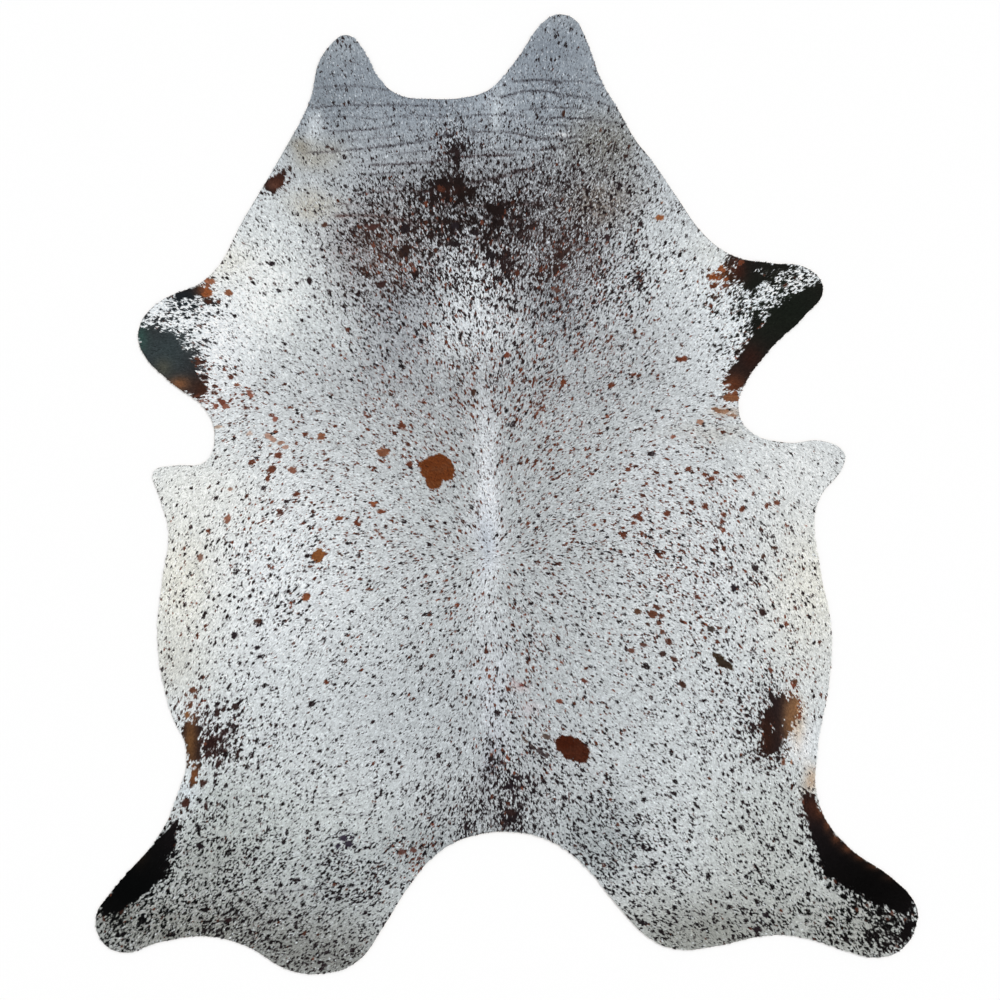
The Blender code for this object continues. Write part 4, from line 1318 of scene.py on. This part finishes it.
# %% [markdown]
# ## The finish of the hair
#
# Cow hair is short, straight and slightly glossy. The tone of each lock is stored on the mesh, and
# the shader adds what is finer than a lock: a thin streak along the strands, and a gloss that
# varies a little. The specular level is low, because black hair has to stay black under soft light.

# %% Small helpers for materials
def set_inputs(node, values):
    """Set some of a node's inputs to plain values."""
    for socket, value in values.items():
        node.inputs[socket].default_value = value


def new_material(name, values):
    """A material with its Principled shader, some of whose inputs are set, and its node tree."""
    material = bpy.data.materials.new(name)
    material.use_nodes = True
    tree = material.node_tree
    shader = tree.nodes["Principled BSDF"]
    set_inputs(shader, values)
    return material, tree, shader


def add_node(tree, kind, values=None):
    """A new shader node of one kind, with some of its inputs set."""
    node = tree.nodes.new("ShaderNode" + kind)
    set_inputs(node, values or {})
    return node


def connect(tree, *wires):
    """Join nodes. Each wire names a node and its output, then a node and its input."""
    for giver, output, taker, socket in wires:
        tree.links.new(giver.outputs[output], taker.inputs[socket])


print("materials so far:", len(bpy.data.materials))

# %% Hair material
STRAND_SCALE = 900.0
STRAND_SHADE = (0.90, 1.08)
HAIR_ROUGHNESS = (0.46, 0.66)
hair, tree, shader = new_material("cow_hair", {"Specular IOR Level": 0.03})
tone_node = add_node(tree, "Attribute")
tone_node.attribute_name = "coat_tone"
where = add_node(tree, "TexCoord")
strands = add_node(tree, "TexNoise", {"Scale": STRAND_SCALE, "Detail": 2.0})
shade = add_node(
    tree,
    "MapRange",
    {"From Min": 0.3, "From Max": 0.7, "To Min": STRAND_SHADE[0], "To Max": STRAND_SHADE[1]},
)
tinted = add_node(tree, "VectorMath")
tinted.operation = "SCALE"
gloss = add_node(tree, "MapRange", {"To Min": HAIR_ROUGHNESS[0], "To Max": HAIR_ROUGHNESS[1]})
connect(
    tree,
    (where, "Object", strands, "Vector"),
    (strands, "Fac", shade, "Value"),
    (tone_node, "Color", tinted, 0),
    (shade, "Result", tinted, "Scale"),
    (tinted, "Vector", shader, "Base Color"),
    (strands, "Fac", gloss, "Value"),
    (gloss, "Result", shader, "Roughness"),
)
for band in coat_bands:
    band.data.materials.append(hair)
print("hair on", len(coat_bands), "bands")

# %% [markdown]
# ## The finish of the leather
#
# Between the locks the skin shows a little, so the leather's hair side takes the coat's own ground
# colour, darkened as painted shade of the locks over it and stored at its points. The underside is
# suede: pale tan, brushed, with slow cloudy variation and a fine nap. The cut edge is the raw middle
# of the leather, and takes the suede finish too.

# %% Skin tone on the leather, with painted shade
# The hair side is darkened to a quarter of the coat's ground colour: painted shade of the locks over
# the skin.
SKIN_PAINTED_SHADE = 0.25
PORE_SCALE = 1400.0
PORE_DEPTH = 0.0002
FACES_UP = 0.5
points = point_places(leather.data)
skin = ground_with_patches(points[:, 0] / MM, points[:, 1] / MM)
skin_tone_and_shade = np.ones((len(points), 4))
skin_tone_and_shade[:, :3] = as_light(skin) * SKIN_PAINTED_SHADE
skin_layer = leather.data.color_attributes.new("skin_tone_and_shade", "FLOAT_COLOR", "POINT")
skin_layer.data.foreach_set("color", skin_tone_and_shade.ravel())

skin_finish, tree, shader = new_material("hide_skin", {"Roughness": 0.7, "Specular IOR Level": 0.2})
tone_node = add_node(tree, "Attribute")
tone_node.attribute_name = "skin_tone_and_shade"
where = add_node(tree, "TexCoord")
pores = add_node(tree, "TexNoise", {"Scale": PORE_SCALE})
bump = add_node(tree, "Bump", {"Strength": 0.4, "Distance": PORE_DEPTH})
connect(
    tree,
    (where, "Object", pores, "Vector"),
    (pores, "Fac", bump, "Height"),
    (bump, "Normal", shader, "Normal"),
    (tone_node, "Color", shader, "Base Color"),
)
print("skin tones:", len(skin_tone_and_shade))

# %% Suede underside and cut edge
SUEDE_LIGHT = (0.56, 0.46, 0.35, 1.0)
SUEDE_DARK = (0.43, 0.34, 0.25, 1.0)
CLOUD_SCALE = 9.0
NAP_SCALE = 1800.0
NAP_DEPTH = 0.0004
suede, tree, shader = new_material("suede_underside", {"Roughness": 0.92, "Specular IOR Level": 0.15})
where = add_node(tree, "TexCoord")
clouds = add_node(tree, "TexNoise", {"Scale": CLOUD_SCALE, "Detail": 6.0})
nap = add_node(tree, "TexNoise", {"Scale": NAP_SCALE, "Detail": 3.0})
blend = add_node(tree, "Mix")
blend.data_type = "RGBA"
set_inputs(blend, {6: SUEDE_DARK, 7: SUEDE_LIGHT})
bump = add_node(tree, "Bump", {"Strength": 0.55, "Distance": NAP_DEPTH})
connect(
    tree,
    (where, "Object", clouds, "Vector"),
    (where, "Object", nap, "Vector"),
    (clouds, "Fac", blend, 0),
    (blend, 2, shader, "Base Color"),
    (nap, "Fac", bump, "Height"),
    (bump, "Normal", shader, "Normal"),
)

leather.data.materials.clear()
leather.data.materials.append(skin_finish)
leather.data.materials.append(suede)
facing = np.empty(len(leather.data.polygons) * 3)
leather.data.polygons.foreach_get("normal", facing)
on_top = facing.reshape(-1, 3)[:, 2] > FACES_UP
leather.data.polygons.foreach_set("material_index", np.where(on_top, 0, 1))
leather.data.update()
print("suede faces:", int((~on_top).sum()))

# %% [markdown]
# ## Attach the pieces
#
# The leather stands for the solid, and the coat grows on it. The rug has no moving part, so
# everything rides on the one body. The area that the hide's outline encloses is worked out and
# printed.

# %% Ride and replace
def outline_area(segments):
    """Area inside the rim, from the distance map's grid."""
    inside = inside_segments(node_x, node_y, segments)
    return inside.sum() * (RIM_CELL * MM) ** 2


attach(leather, "root")
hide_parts("hide")
for band in coat_bands:
    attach(band, "root")
outline_area(rim)
print(f"sheet area {outline_area(rim):.3f} square metres")

# %% [markdown]
# ## Floor, light and camera
#
# The rug is seen from straight above on a plain white ground. A pale floor, an even soft sky and
# one broad soft light from the upper right give the flat, slightly directional light of a studio.

# %% Floor
FLOOR_SIZE = 9.0
FLOOR_DROP = 0.0003
FLOOR_GREY = 0.93
bpy.ops.object.select_all(action="DESELECT")
bpy.ops.mesh.primitive_plane_add(size=FLOOR_SIZE, location=(0.0, 0.0, -FLOOR_DROP))
floor = bpy.context.object
floor.name = "floor"
floor_paint, tree, shader = new_material("pale_floor", {"Roughness": 0.9, "Specular IOR Level": 0.1})
set_inputs(shader, {"Base Color": (FLOOR_GREY, FLOOR_GREY, FLOOR_GREY, 1.0)})
floor.data.materials.append(floor_paint)
print("floor:", FLOOR_SIZE, "m")

# %% Light
SKY_STRENGTH = 0.69
KEY_STRENGTH = 1.6
KEY_SOFTNESS = math.radians(40.0)
KEY_TURN = (math.radians(-30.0), math.radians(30.0), 0.0)
world = bpy.data.worlds.new("studio")
world.use_nodes = True
sky = world.node_tree.nodes["Background"]
set_inputs(sky, {"Color": (1.0, 1.0, 1.0, 1.0), "Strength": SKY_STRENGTH})
bpy.context.scene.world = world

key_data = bpy.data.lights.new("key_light", "SUN")
key_data.energy = KEY_STRENGTH
key_data.angle = KEY_SOFTNESS
key = bpy.data.objects.new("key_light", key_data)
key.rotation_euler = KEY_TURN
bpy.context.scene.collection.objects.link(key)
bpy.context.scene.view_settings.view_transform = "Standard"
bpy.context.scene.view_settings.look = "None"
print("key light", KEY_STRENGTH, "sky", SKY_STRENGTH)

# %% Camera
PHOTO_WIDTH = 2.25
PHOTO_MIDDLE = (-0.0146, -0.0135)
LENS = 50.0
SENSOR = 36.0
camera_data = bpy.data.cameras.new("camera")
camera_data.lens = LENS
camera_data.sensor_width = SENSOR
camera = bpy.data.objects.new("camera", camera_data)
camera.location = (*PHOTO_MIDDLE, PHOTO_WIDTH * LENS / SENSOR)
bpy.context.scene.collection.objects.link(camera)
bpy.context.scene.camera = camera
print("camera height:", round(camera.location.z, 3), "m")
